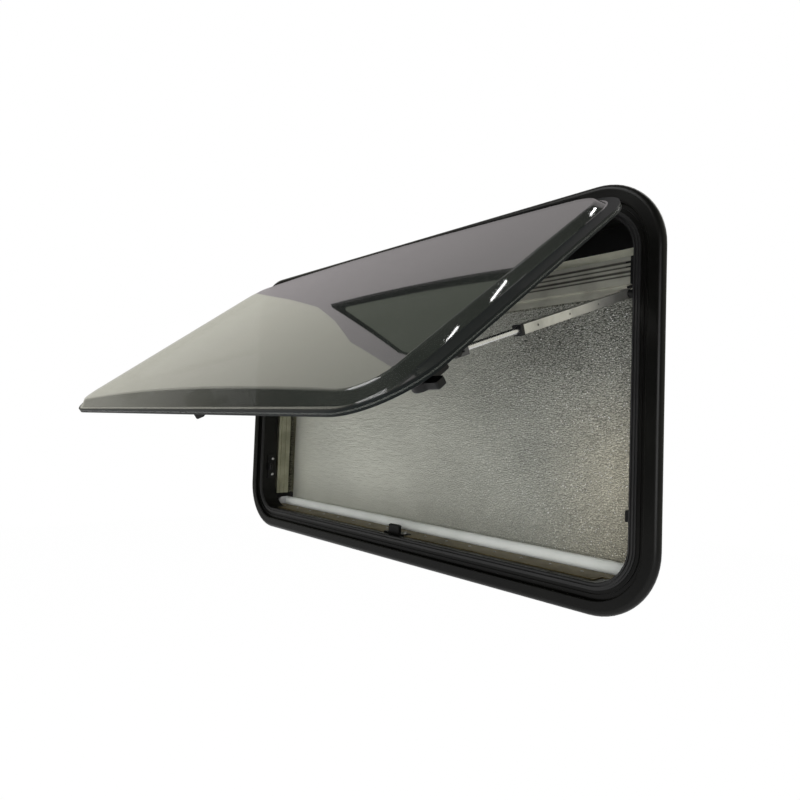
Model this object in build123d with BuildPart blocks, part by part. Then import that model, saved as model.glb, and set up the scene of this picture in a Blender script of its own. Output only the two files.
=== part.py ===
from build123d import *
import os
from math import atan2, cos, degrees, hypot, radians, sin

os.makedirs("parts", exist_ok=True)

# Top-hung acrylic caravan window with stays, roller blind and flyscreen, in millimetres.
# X runs along the window, Y from outside to inside and Z up.
# The origin is the centre of the wall cut-out on the wall's outer skin.
# The pane stands open at the stop of its stays, so the origin pose is the open one.

# Wall and its cut-out
CUTOUT_WIDTH = 900.0
CUTOUT_HEIGHT = 480.0
CUTOUT_RADIUS = 64.0
WALL_THICKNESS = 25.0

# Outer frame, each reach measured outwards from the cut-out line
FLANGE_REACH = 26.0
CLEAR_REACH = -14.0
BAND_REACH = 6.5
BAND_PROUD = 10.0
BAND_OUTER_FILLET = 7.0
BAND_INNER_FILLET = 1.6
SEAL_THICKNESS = 1.5
PLATE_THICKNESS = 2.5
SLEEVE_WALL = 5.0
SPIGOT_CLEARANCE = 1.0
SPIGOT_DEPTH = 6.0
SCREW_FLANGE_REACH = -3.0
SCREW_FLANGE_DEPTH = 10.0
GROOVE_RIB_WIDTH = 1.0
GROOVE_RIB_HEIGHT = 1.5

# Rubber gasket with two lips
GASKET_WIDTH = 9.5
GASKET_BASE = 1.0
LIP_WIDTH = 2.0
LIP_SPACING = 4.0
LIP_INSET = 1.0
SOFT_CLEARANCE = 0.3

# Foam seal on the back of the flange
WALL_SEAL_INNER_REACH = 3.0
WALL_SEAL_OUTER_REACH = 22.0

# Hinge along the top
HINGE_Y = -7.1
HINGE_ABOVE_CUTOUT = 6.2
OPEN_ANGLE = 53.6
HINGE_END_MARGIN = 90.0
BEAD_RADIUS = 2.2
RUNNING_CLEARANCE = 0.05
KNUCKLE_WALL = 1.35
WEB_THICKNESS = 1.6
WEB_MARGIN_ANGLE = 8.0
RAIL_FOOT_HEIGHT = 10.5
RAIL_FOOT_PROUD = 6.2
RECESS_CLEARANCE = 0.3
RECESS_FLOOR = 1.7
RIVET_PITCH = 90.0
RIVET_RADIUS = 1.6
RIVET_HEAD_RADIUS = 3.0
RIVET_HEAD_HEIGHT = 1.2

# Double acrylic pane
PANE_SIDE_INSET = -4.0
PANE_TOP = 9.5
PANE_BOTTOM_INSET = 6.2
PANE_RADIUS = 78.0
SHEET_THICKNESS = 2.5
EDGE_SEAL_THICKNESS = 1.6
EDGE_SEAL_WIDTH = 12.0
DOME_SIDE_INSET = 21.0
DOME_HINGE_INSET = 9.0
DOME_BOTTOM_INSET = 4.0
DOME_RADIUS = 52.0
DOME_SLOPE_RUN = 12.0
DOME_EDGE_HEIGHT = 15.4
DOME_CROWN = 8.0
DOME_FILLET = 5.0
STRIP_INNER_WALL = 1.3
STRIP_WALL = 1.5
STRIP_OUTER_REACH = 7.0
STRIP_INNER_REACH = 3.2

# Stays between the jambs and the pane
STAY_INSET = 18.0
STAY_PIVOT_Y = 10.0
STAY_PIVOT_DROP = 118.7
STAY_PIN_RISE = 124.0
STAY_PIN_DEPTH = 12.0
SLEEVE_SIZE = 10.0
TUBE_WALL = 1.0
EYE_RADIUS = 6.5
EYE_BLOCK = 12.0
SLEEVE_HOLE_RADIUS = 1.3
SLEEVE_HOLE_START = 70.0
SLEEVE_HOLE_PITCH = 59.0
COLLAR_SIZE = 11.5
COLLAR_POCKET = 2.5
COLLAR_WALL = 2.0
COLLAR_CLOSED_GAP = 3.0
ROD_RADIUS = 3.5
ROD_CLOSED_GAP = 5.0
PIVOT_RADIUS = 2.5
PIVOT_HEAD_RADIUS = 4.2
PIVOT_HEAD_THICKNESS = 1.4
ANCHOR_PLATE = 2.5
ANCHOR_WIDTH = 22.0
ANCHOR_HEIGHT = 34.0
ANCHOR_BOSS_RADIUS = 5.0
ANCHOR_SCREW_PITCH = 22.0
STAY_SIDE_GAP = 0.4
CRADLE_WIDTH = 8.0
CRADLE_WALL = 3.4
CRADLE_FIRST_ANGLE = -29.0
CRADLE_LAST_ANGLE = 130.0
ROD_CAP_START = 17.3
ROD_CAP_END = 11.3
ROD_CAP_WALL = 1.0
ROD_CAP_HALF_HEIGHT = 4.5
BRACKET_EAR = 3.0
BRACKET_EAR_GAP = 0.5
BRACKET_BASE = 2.0
BRACKET_FOOT_WIDTH = 30.0
BRACKET_FOOT_LENGTH = 22.0
BRACKET_FOOT_RADIUS = 3.0
BRACKET_EAR_RADIUS = 4.6
BRACKET_SCREW_PITCH = 22.0

# Latches on the pane and their strikers in the frame
LATCH_SIDE_INSET = 38.0
LATCH_SIDE_RISE = 92.0
LATCH_BOTTOM_RISE = 52.0
LATCH_BOTTOM_BEARING = -50.0
LATCH_BASE_WIDTH = 28.0
LATCH_BASE_LENGTH = 36.0
LATCH_BASE_RADIUS = 12.0
LATCH_BASE_FILLET = 5.0
LATCH_SCREW_SEAT = 4.0
LATCH_SHAFT_RADIUS = 4.0
LATCH_SHAFT_LENGTH = 12.0
LATCH_HUB_RADIUS = 12.0
LATCH_HUB_GAP = 0.4
LATCH_ARM_START = 21.0
LATCH_ARM_END = 29.0
LATCH_ARM_FILLET = 2.0
LATCH_ARM_CORNER = 2.6
LATCH_GRIP_LENGTH = 25.4
LATCH_GRIP_WIDTH = 12.5
LATCH_TONGUE_LENGTH = 34.5
LATCH_TONGUE_WIDTH = 11.0
LATCH_SCREW_PITCH = 26.4
STRIKER_PLATE = 2.5
STRIKER_PLATE_START = 7.0
STRIKER_PLATE_WIDTH = 18.0
STRIKER_PLATE_LENGTH = 50.0
STRIKER_BLOCK_WIDTH = 6.0
SIDE_BLOCK_LENGTH = 14.0
SIDE_BLOCK_HEIGHT = 12.0
BOTTOM_BLOCK_LENGTH = 26.0
BOTTOM_BLOCK_HEIGHT = 16.5
STRIKER_CHAMFER = 1.5
STRIKER_SCREW_Y = 18.0
STRIKER_SCREW_PITCH = 34.0

# Small screws
SCREW_RADIUS = 1.5
SCREW_HEAD_RADIUS = 3.0
SCREW_HEAD_HEIGHT = 1.8
SCREW_BITE = 4.5
CLAMP_SCREW_RADIUS = 2.0
CLAMP_HEAD_RADIUS = 2.6
CLAMP_HEAD_HEIGHT = 1.6
CLAMP_SCREW_REACH = -11.2
CLAMP_SCREW_BITE = 8.5
CLAMP_SCREW_PITCH = 120.0
HOLE_CLEARANCE = 0.1

# Inner frame, a box on the room side of the wall
INNER_FLANGE_REACH = 10.0
INNER_FLANGE = 3.0
BOX_INSET = 8.0
BOX_RADIUS = 3.0
BOX_WALL = 2.0
BOX_DEPTH = 66.0

# Side rails and brush seals
RAIL_WIDTH = 14.0
RAIL_END_GAP = 0.3
RAIL_BACK_GAP = 0.1
RAIL_WALL = 2.5
SLOT_LIP = 1.4
BLIND_SLOT = 21.8
FLY_SLOT = 12.8
RAIL_GROOVE_DEPTH = 1.2
RAIL_GROOVE_WIDTH = 2.2
RAIL_GROOVE_STARTS = (6.0, 17.0)
BRUSH_DEPTH = 15.3
BRUSH_SETBACK = 1.5

# Sill strip
SILL_THICKNESS = 1.2
SILL_FRONT_Y = 8.0
SILL_BACK_GAP = 3.3
SILL_FRONT_INSET = 2.0
SILL_BACK_INSET = 9.0
SILL_RIVET_INSET = 6.5
SILL_RIVET_PITCH = 50.0
SILL_RIVET_RADIUS = 1.2
SILL_RIVET_HEAD_RADIUS = 2.2
SILL_RIVET_HEAD_HEIGHT = 0.9
SILL_RIVET_TAIL = 4.0

# Blind: bar at the top, roller at the bottom
BAR_CAP_LENGTH = 36.0
BAR_WALL = 1.5
CAP_CLEARANCE = 0.5
BLIND_BAR_DROP = 8.8
BLIND_BAR_HEIGHT = 37.0
BLIND_BAR_DEPTH = 11.0
BLIND_BAR_FRONT_WALL = 3.6
DEEP_GROOVE = (2.2, 2.5)
SHALLOW_GROOVE = (0.9, 1.8)
BAR_GROOVES = (
    (7.8, DEEP_GROOVE),
    (14.0, SHALLOW_GROOVE),
    (20.5, DEEP_GROOVE),
    (25.9, SHALLOW_GROOVE),
)
FIN_GROOVES = 2
FIN_LENGTH = 7.0
FIN_HEIGHT = 3.0
FIN_SETBACK = 3.4
BLIND_WEB_HEIGHT = 5.5
BLIND_WEB_THICKNESS = 1.5
BLIND_LIP_HEIGHT = 6.5
BLIND_LIP_THICKNESS = 4.0
BLIND_FABRIC_THICKNESS = 0.6
BLIND_EDGE_CLEARANCE = 3.5
TONGUE_DEPTH = 5.2
TONGUE_SETBACK = 0.8
TONGUE_END_CLEARANCE = 4.0
ROLLER_FLOOR_GAP = 3.0
ROLLER_RADIUS = 9.5
ROLLER_WALL = 2.0
ROLLER_END_GAP = 2.5
STUB_RADIUS = 3.0
PLUG_DEPTH = 20.0
ROLLER_BRACKET_THICKNESS = 5.0
ROLLER_BRACKET_START = 12.0
CORNER_CLEARANCE = 4.0

# Flyscreen: roller in the top cassette
FLY_BAR_DROP = 10.3
FLY_BAR_HEIGHT = 16.5
FLY_BAR_DEPTH = 11.0
FLY_ROLLER_TOP_GAP = 8.0
FLY_ROLLER_RADIUS = 7.0
FLY_MESH_THICKNESS = 0.4
CASSETTE_DEPTH = 33.5
CASSETTE_BACK_GAP = 0.5
CASSETTE_HEIGHT = 31.7
CASSETTE_WALL = 1.6
CASSETTE_END_THICKNESS = 6.0

# Places worked out from the sizes above
CLEAR_WIDTH = CUTOUT_WIDTH + 2 * CLEAR_REACH
CLEAR_HEIGHT = CUTOUT_HEIGHT + 2 * CLEAR_REACH
PLATE_BACK_Y = -SEAL_THICKNESS
PLATE_FRONT_Y = PLATE_BACK_Y - PLATE_THICKNESS
INNER_FLANGE_BACK_Y = WALL_THICKNESS + INNER_FLANGE
BOX_BACK_Y = INNER_FLANGE_BACK_Y + BOX_DEPTH
BOX_WIDTH = CUTOUT_WIDTH - 2 * BOX_INSET
BOX_HEIGHT = CUTOUT_HEIGHT - 2 * BOX_INSET
CASSETTE_BACK_Y = BOX_BACK_Y - CASSETTE_BACK_GAP
CASSETTE_FRONT_Y = CASSETTE_BACK_Y - CASSETTE_DEPTH
CASSETTE_BOTTOM_Z = BOX_HEIGHT / 2 - CASSETTE_HEIGHT
RAIL_OUTER_X = BOX_WIDTH / 2
RAIL_INNER_X = RAIL_OUTER_X - RAIL_WIDTH
RAIL_TOP_Z = CASSETTE_BOTTOM_Z - RAIL_END_GAP
RAIL_BACK_Y = BOX_BACK_Y - RAIL_BACK_GAP
FLY_SLOT_Y = RAIL_BACK_Y - SLOT_LIP - FLY_SLOT
BLIND_SLOT_Y = FLY_SLOT_Y - SLOT_LIP - BLIND_SLOT
RAIL_FRONT_DEPTH = BLIND_SLOT_Y - INNER_FLANGE_BACK_Y
TONGUE_BACK = SLOT_LIP + TONGUE_SETBACK
BLIND_BAR_BACK_Y = FLY_SLOT_Y - TONGUE_BACK
BLIND_BAR_FRONT_Y = BLIND_BAR_BACK_Y - BLIND_BAR_DEPTH
FLY_BAR_BACK_Y = RAIL_BACK_Y - TONGUE_BACK
BLIND_FABRIC_Y = BLIND_BAR_BACK_Y - TONGUE_DEPTH / 2
FLY_MESH_Y = FLY_BAR_BACK_Y - TONGUE_DEPTH / 2
BLIND_ROLLER_Y = BLIND_FABRIC_Y - BLIND_FABRIC_THICKNESS / 2 - SOFT_CLEARANCE - ROLLER_RADIUS
FLY_ROLLER_Y = FLY_MESH_Y - FLY_MESH_THICKNESS / 2 - SOFT_CLEARANCE - FLY_ROLLER_RADIUS
SILL_BACK_Y = BLIND_ROLLER_Y - ROLLER_RADIUS - SILL_BACK_GAP
BAR_HALF_LENGTH = RAIL_INNER_X - BAR_CAP_LENGTH
BLIND_BAR_TOP_Z = CASSETTE_BOTTOM_Z - BLIND_BAR_DROP
BLIND_BAR_BOTTOM_Z = BLIND_BAR_TOP_Z - BLIND_BAR_HEIGHT
BLIND_LIP_TOP_Z = BLIND_BAR_BOTTOM_Z - BLIND_WEB_HEIGHT
BLIND_LIP_BOTTOM_Z = BLIND_LIP_TOP_Z - BLIND_LIP_HEIGHT
FLY_BAR_BOTTOM_Z = CASSETTE_BOTTOM_Z - FLY_BAR_DROP
ROLLER_Z = ROLLER_FLOOR_GAP + ROLLER_RADIUS - BOX_HEIGHT / 2
FLY_ROLLER_Z = BOX_HEIGHT / 2 - FLY_ROLLER_TOP_GAP - FLY_ROLLER_RADIUS
HINGE_Z = CUTOUT_HEIGHT / 2 + HINGE_ABOVE_CUTOUT
HINGE_LENGTH = CUTOUT_WIDTH - 2 * HINGE_END_MARGIN
PANE_WIDTH = CUTOUT_WIDTH - 2 * PANE_SIDE_INSET
PANE_BOTTOM = HINGE_Z + CUTOUT_HEIGHT / 2 - PANE_BOTTOM_INSET
STAY_X = CLEAR_WIDTH / 2 - STAY_INSET
STAY_PIVOT_Z = HINGE_Z - STAY_PIVOT_DROP
STAY_PIN_U = PANE_BOTTOM - STAY_PIN_RISE
LATCH_SIDE_X = CLEAR_WIDTH / 2 - LATCH_SIDE_INSET
LATCH_SIDE_U = PANE_BOTTOM - LATCH_SIDE_RISE
LATCH_BOTTOM_U = PANE_BOTTOM - LATCH_BOTTOM_RISE
STRIKER_Z = HINGE_Z - LATCH_SIDE_U
OPEN = radians(OPEN_ANGLE)
PANE = Plane(origin=(0, HINGE_Y, HINGE_Z), x_dir=(1, 0, 0), z_dir=(0, -cos(OPEN), sin(OPEN)))
PANE_MIDDLE = (PANE_TOP + PANE_BOTTOM) / 2
PANE_LENGTH = PANE_BOTTOM - PANE_TOP
SIDES = (("left", -1), ("right", 1))


def save(piece, name):
    """Label a finished piece and write its STEP file."""
    piece.part.label = name
    export_step(piece.part, f"parts/{name}.step")


def wall_plane(depth):
    """Plane parallel to the wall, depth inwards from the outer skin, that faces outside."""
    return Plane.XZ.offset(-depth)


def outline(reach, mode=Mode.ADD):
    """Rounded outline that lies reach outside the cut-out line."""
    return RectangleRounded(
        CUTOUT_WIDTH + 2 * reach, CUTOUT_HEIGHT + 2 * reach, CUTOUT_RADIUS + reach, mode=mode
    )


def ring(inner_reach, outer_reach, front, back):
    """Ring between two outlines, from the front depth to the back depth."""
    with BuildSketch(wall_plane(front)) as band:
        outline(outer_reach)
        outline(inner_reach, mode=Mode.SUBTRACT)
    extrude(band.sketch, amount=front - back)


def pane_plane(along, down, out):
    """Plane parallel to the pane at a point along the hinge, down the pane and out of its inner face."""
    return Plane(origin=PANE.from_local_coords((along, -down, out)), x_dir=PANE.x_dir, z_dir=PANE.z_dir)


def spread(count, pitch):
    """Places of a row at one pitch about its middle."""
    return [(k - (count - 1) / 2) * pitch for k in range(count)]


def jamb_plane(side):
    """Plane on a jamb's inner face that faces into the opening, its local x inwards."""
    return Plane(origin=(side * CLEAR_WIDTH / 2, 0, 0), x_dir=(0, 1, 0), z_dir=(-side, 0, 0))


def jamb_point(side, y, z):
    """Local coordinates on a jamb's plane of a point at y and z."""
    return (y, -side * z)


SILL = Plane(origin=(0, 0, -CLEAR_HEIGHT / 2), x_dir=(0, 1, 0), z_dir=(0, 0, 1))
SIDE_BLOCK = (SIDE_BLOCK_LENGTH, SIDE_BLOCK_HEIGHT)
STRIKER_SEATS = (
    ("bottom", SILL, (0, 0), (BOTTOM_BLOCK_LENGTH, BOTTOM_BLOCK_HEIGHT)),
    ("left", jamb_plane(-1), jamb_point(-1, 0, STRIKER_Z), SIDE_BLOCK),
    ("right", jamb_plane(1), jamb_point(1, 0, STRIKER_Z), SIDE_BLOCK),
)
STRIKER_SCREW_PLACES = [
    (plane, (STRIKER_SCREW_Y, seat[1] + end * STRIKER_SCREW_PITCH / 2))
    for _, plane, seat, _ in STRIKER_SEATS
    for end in (-1, 1)
]
ANCHOR_SCREW_PLACES = [
    (jamb_plane(side), jamb_point(side, STAY_PIVOT_Y, STAY_PIVOT_Z + end * ANCHOR_SCREW_PITCH / 2))
    for _, side in SIDES
    for end in (-1, 1)
]
CLAMP_SCREW_X = CUTOUT_WIDTH / 2 + CLAMP_SCREW_REACH
CLAMP_SCREW_Z = CUTOUT_HEIGHT / 2 + CLAMP_SCREW_REACH
CLAMP_SCREWS_ALONG = int((CUTOUT_WIDTH - 2 * CUTOUT_RADIUS) // CLAMP_SCREW_PITCH) + 1
CLAMP_SCREWS_UP = int((CUTOUT_HEIGHT - 2 * CUTOUT_RADIUS) // CLAMP_SCREW_PITCH) + 1
CLAMP_SCREW_PLACES = [
    (x, edge * CLAMP_SCREW_Z)
    for x in spread(CLAMP_SCREWS_ALONG, CLAMP_SCREW_PITCH)
    for edge in (-1, 1)
] + [
    (edge * CLAMP_SCREW_X, z)
    for z in spread(CLAMP_SCREWS_UP, CLAMP_SCREW_PITCH)
    for edge in (-1, 1)
]
RIVET_PLACES = spread(int(HINGE_LENGTH // RIVET_PITCH), RIVET_PITCH)
RECESS_TOP_Z = HINGE_Z + RAIL_FOOT_HEIGHT
RECESS_FLOOR_Y = PLATE_BACK_Y - RECESS_FLOOR
KNUCKLE_RADIUS = BEAD_RADIUS + RUNNING_CLEARANCE + KNUCKLE_WALL
RIVET_Z = (HINGE_Z + KNUCKLE_RADIUS + RECESS_TOP_Z) / 2
RAIL_FOOT_FRONT_Y = RECESS_FLOOR_Y - RAIL_FOOT_PROUD

# Outer frame
with BuildPart() as outer_frame:
    ring(BAND_REACH, FLANGE_REACH, -BAND_PROUD, PLATE_BACK_Y)
    band_front = outer_frame.faces().sort_by(Axis.Y)[0]
    fillet(band_front.outer_wire().edges(), radius=BAND_OUTER_FILLET)
    band_front = outer_frame.faces().sort_by(Axis.Y)[0]
    fillet(band_front.inner_wires()[0].edges(), radius=BAND_INNER_FILLET)
    ring(CLEAR_REACH, FLANGE_REACH, PLATE_FRONT_Y, PLATE_BACK_Y)
    ring(0, GROOVE_RIB_WIDTH, PLATE_FRONT_Y - GROOVE_RIB_HEIGHT, PLATE_FRONT_Y)
    ring(CLEAR_REACH, CLEAR_REACH + SLEEVE_WALL, PLATE_BACK_Y, WALL_THICKNESS)
    ring(CLEAR_REACH + SLEEVE_WALL, -SPIGOT_CLEARANCE, PLATE_BACK_Y, SPIGOT_DEPTH)
    ring(CLEAR_REACH, SCREW_FLANGE_REACH, WALL_THICKNESS - SCREW_FLANGE_DEPTH, WALL_THICKNESS)
    with BuildSketch(wall_plane(RECESS_FLOOR_Y)):
        with Locations((0, (HINGE_Z - KNUCKLE_RADIUS - RECESS_CLEARANCE + RECESS_TOP_Z) / 2)):
            Rectangle(
                HINGE_LENGTH + 2 * RECESS_CLEARANCE,
                RAIL_FOOT_HEIGHT + KNUCKLE_RADIUS + RECESS_CLEARANCE,
            )
    extrude(amount=2 * BAND_PROUD, mode=Mode.SUBTRACT)
    for plane, place in STRIKER_SCREW_PLACES + ANCHOR_SCREW_PLACES:
        with Locations(plane):
            with Locations(place):
                Hole(SCREW_RADIUS + HOLE_CLEARANCE, depth=SLEEVE_WALL)
    with Locations(wall_plane(WALL_THICKNESS)):
        with Locations(CLAMP_SCREW_PLACES):
            Cylinder(
                CLAMP_SCREW_RADIUS + HOLE_CLEARANCE,
                CLAMP_SCREW_BITE + HOLE_CLEARANCE,
                align=(Align.CENTER, Align.CENTER, Align.MIN),
                mode=Mode.SUBTRACT,
            )
save(outer_frame, "outer_frame")

# Gasket whose two lips the closed pane presses on
with BuildPart() as frame_gasket:
    lip_tip = HINGE_Y + SOFT_CLEARANCE
    ring(CLEAR_REACH, CLEAR_REACH + GASKET_WIDTH, PLATE_FRONT_Y - GASKET_BASE, PLATE_FRONT_Y)
    for k in range(2):
        lip_start = CLEAR_REACH + LIP_INSET + k * LIP_SPACING
        ring(lip_start, lip_start + LIP_WIDTH, lip_tip, PLATE_FRONT_Y - GASKET_BASE)
save(frame_gasket, "frame_gasket")

# Foam seal between the flange and the wall
with BuildPart() as wall_seal:
    ring(WALL_SEAL_INNER_REACH, WALL_SEAL_OUTER_REACH, PLATE_BACK_Y, 0)
save(wall_seal, "wall_seal")


def hinge_direction(angle):
    """Direction across the hinge at an angle outwards from straight down, as y and z."""
    return (-sin(radians(angle)), -cos(radians(angle)))


# Hinge rail, an open knuckle on a foot
web_half_angle = degrees(atan2(WEB_THICKNESS / 2, BEAD_RADIUS)) + WEB_MARGIN_ANGLE
mouth_angles = [
    -web_half_angle + k * (OPEN_ANGLE + 2 * web_half_angle) / 4 for k in range(5)
]
mouth_reach = 3 * KNUCKLE_RADIUS
with BuildPart() as hinge_rail:
    with BuildSketch(Plane.YZ.offset(-HINGE_LENGTH / 2)):
        with Locations(((RAIL_FOOT_FRONT_Y + RECESS_FLOOR_Y) / 2, (HINGE_Z + RECESS_TOP_Z) / 2)):
            Rectangle(RAIL_FOOT_PROUD, RAIL_FOOT_HEIGHT - RECESS_CLEARANCE)
        with Locations((HINGE_Y, HINGE_Z)):
            Circle(KNUCKLE_RADIUS)
            Circle(BEAD_RADIUS + RUNNING_CLEARANCE, mode=Mode.SUBTRACT)
        with BuildLine():
            mouth = [
                (
                    HINGE_Y + mouth_reach * hinge_direction(angle)[0],
                    HINGE_Z + mouth_reach * hinge_direction(angle)[1],
                )
                for angle in mouth_angles
            ]
            Polyline((HINGE_Y, HINGE_Z), *mouth, close=True)
        make_face(mode=Mode.SUBTRACT)
    extrude(amount=HINGE_LENGTH)
    with Locations(wall_plane(RECESS_FLOOR_Y)):
        with Locations([(x, RIVET_Z) for x in RIVET_PLACES]):
            Cylinder(RIVET_RADIUS + HOLE_CLEARANCE, 3 * RAIL_FOOT_PROUD, mode=Mode.SUBTRACT)
save(hinge_rail, "hinge_rail")

# Rivets that hold the hinge rail
with BuildPart() as hinge_rivets:
    with BuildSketch(wall_plane(RECESS_FLOOR_Y)):
        with Locations([(x, RIVET_Z) for x in RIVET_PLACES]):
            Circle(RIVET_RADIUS)
    extrude(amount=RAIL_FOOT_PROUD)
    with BuildSketch(wall_plane(RAIL_FOOT_FRONT_Y)):
        with Locations([(x, RIVET_Z) for x in RIVET_PLACES]):
            Circle(RIVET_HEAD_RADIUS)
    extrude(amount=RIVET_HEAD_HEIGHT)
save(hinge_rivets, "hinge_rivets")

# Places on the pane and the stays
RIM_THICKNESS = 2 * SHEET_THICKNESS + EDGE_SEAL_THICKNESS
FLANGE_BACK = SHEET_THICKNESS + EDGE_SEAL_THICKNESS
DOME_START = PANE_TOP + DOME_HINGE_INSET
DOME_END = PANE_BOTTOM - DOME_BOTTOM_INSET
DOME_WIDTH = PANE_WIDTH - 2 * DOME_SIDE_INSET
PANE_OUT = Axis(origin=PANE.origin, direction=PANE.z_dir)
PIN_Y = HINGE_Y - STAY_PIN_U * sin(OPEN) + STAY_PIN_DEPTH * cos(OPEN)
PIN_Z = HINGE_Z - STAY_PIN_U * cos(OPEN) - STAY_PIN_DEPTH * sin(OPEN)
STAY_LENGTH = hypot(STAY_PIVOT_Y - PIN_Y, STAY_PIVOT_Z - PIN_Z)
STAY_ALONG = (0, (PIN_Y - STAY_PIVOT_Y) / STAY_LENGTH, (PIN_Z - STAY_PIVOT_Z) / STAY_LENGTH)
STAY_CLOSED_LENGTH = hypot(
    STAY_PIVOT_Y - HINGE_Y - STAY_PIN_DEPTH, STAY_PIVOT_DROP - STAY_PIN_U
)
SLEEVE_LENGTH = STAY_CLOSED_LENGTH - ROD_CAP_START - COLLAR_WALL - COLLAR_CLOSED_GAP
ROD_LENGTH = STAY_CLOSED_LENGTH - ROD_CAP_END - ROD_CAP_WALL - EYE_BLOCK - ROD_CLOSED_GAP
SLEEVE_HOLES = int((SLEEVE_LENGTH - SLEEVE_HOLE_START) // SLEEVE_HOLE_PITCH) + 1


def pane_section(x):
    """Plane across the pane whose local x runs down it and local y inwards from its inner face."""
    return Plane(
        origin=(x, HINGE_Y, HINGE_Z), x_dir=(0, -sin(OPEN), -cos(OPEN)), z_dir=(1, 0, 0)
    )


def stay_section(x):
    """Plane along a stay whose local x runs from the pivot to the pin and local y inwards."""
    return Plane(origin=(x, STAY_PIVOT_Y, STAY_PIVOT_Z), x_dir=STAY_ALONG, z_dir=(1, 0, 0))


def pane_outline(inset, mode=Mode.ADD):
    """Rounded outline that lies inset within the pane's edge."""
    RectangleRounded(
        PANE_WIDTH - 2 * inset, PANE_LENGTH - 2 * inset, PANE_RADIUS - inset, mode=mode
    )


def dome_outline(inset, mode=Mode.ADD):
    """Rounded outline that lies inset within the dome's foot."""
    with Locations((0, PANE_MIDDLE - (DOME_START + DOME_END) / 2)):
        RectangleRounded(
            DOME_WIDTH - 2 * inset, DOME_END - DOME_START - 2 * inset, DOME_RADIUS - inset, mode=mode
        )


def add_screw(plane, place, grip, bite):
    """Screw whose head sits grip above a plane and whose point lies bite below it."""
    with Locations(plane):
        with Locations((place[0], place[1], -bite)):
            Cylinder(SCREW_RADIUS, grip + bite, align=(Align.CENTER, Align.CENTER, Align.MIN))
        with Locations((place[0], place[1], grip)):
            Cylinder(
                SCREW_HEAD_RADIUS, SCREW_HEAD_HEIGHT, align=(Align.CENTER, Align.CENTER, Align.MIN)
            )


# Flat inner sheet
BRACKET_SCREW_PLACES = [
    (side * STAY_X + end * BRACKET_SCREW_PITCH / 2, STAY_PIN_U)
    for _, side in SIDES
    for end in (-1, 1)
]
LATCHES = (
    ("bottom", 0.0, LATCH_BOTTOM_U, LATCH_BOTTOM_BEARING, 90.0),
    ("left", -LATCH_SIDE_X, LATCH_SIDE_U, 180.0, -90.0),
    ("right", LATCH_SIDE_X, LATCH_SIDE_U, 0.0, 90.0),
)
LATCH_SCREW_PLACES = [
    (x, u + end * LATCH_SCREW_PITCH / 2) for _, x, u, _, _ in LATCHES for end in (-1, 1)
]
with BuildPart() as inner_pane:
    with BuildSketch(pane_plane(0, PANE_MIDDLE, 0)):
        pane_outline(0)
        with Locations(
            [(x, PANE_MIDDLE - u) for x, u in BRACKET_SCREW_PLACES + LATCH_SCREW_PLACES]
        ):
            Circle(SCREW_RADIUS + HOLE_CLEARANCE, mode=Mode.SUBTRACT)
    extrude(amount=SHEET_THICKNESS)
save(inner_pane, "inner_pane")

# Seal round the rim between the sheets
with BuildPart() as edge_seal:
    with BuildSketch(pane_plane(0, PANE_MIDDLE, SHEET_THICKNESS)):
        pane_outline(0)
        pane_outline(EDGE_SEAL_WIDTH, mode=Mode.SUBTRACT)
    extrude(amount=EDGE_SEAL_THICKNESS)
save(edge_seal, "edge_seal")

# Outer sheet, a dome whose plateau bows outwards across the width
dome_slope = DOME_SLOPE_RUN / (DOME_EDGE_HEIGHT - FLANGE_BACK)
dome_height = DOME_EDGE_HEIGHT + DOME_CROWN
plateau_half_width = DOME_WIDTH / 2 - DOME_SLOPE_RUN
with BuildPart() as outer_pane:
    with BuildSketch(pane_plane(0, PANE_MIDDLE, FLANGE_BACK)):
        dome_outline(0)
    extrude(amount=dome_height, taper=degrees(atan2(dome_slope, 1)))
    with BuildSketch(
        Plane(origin=PANE.origin, x_dir=(1, 0, 0), z_dir=(0, -sin(OPEN), -cos(OPEN)))
    ):
        with BuildLine():
            crown = ThreePointArc(
                (-plateau_half_width, DOME_EDGE_HEIGHT),
                (0, dome_height),
                (plateau_half_width, DOME_EDGE_HEIGHT),
            )
            Polyline(
                crown @ 1,
                (PANE_WIDTH / 2, DOME_EDGE_HEIGHT),
                (PANE_WIDTH / 2, 0),
                (-PANE_WIDTH / 2, 0),
                (-PANE_WIDTH / 2, DOME_EDGE_HEIGHT),
                crown @ 0,
            )
        make_face()
    extrude(amount=PANE_BOTTOM, mode=Mode.INTERSECT)
    plateau = outer_pane.faces().sort_by(PANE_OUT)[-1]
    fillet(plateau.outer_wire().edges(), radius=DOME_FILLET)
    foot = outer_pane.faces().sort_by(PANE_OUT)[0]
    offset(amount=-SHEET_THICKNESS, openings=foot)
    with BuildSketch(pane_plane(0, PANE_MIDDLE, FLANGE_BACK)):
        pane_outline(0)
        dome_outline(SHEET_THICKNESS, mode=Mode.SUBTRACT)
    extrude(amount=SHEET_THICKNESS)
save(outer_pane, "outer_pane")

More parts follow.
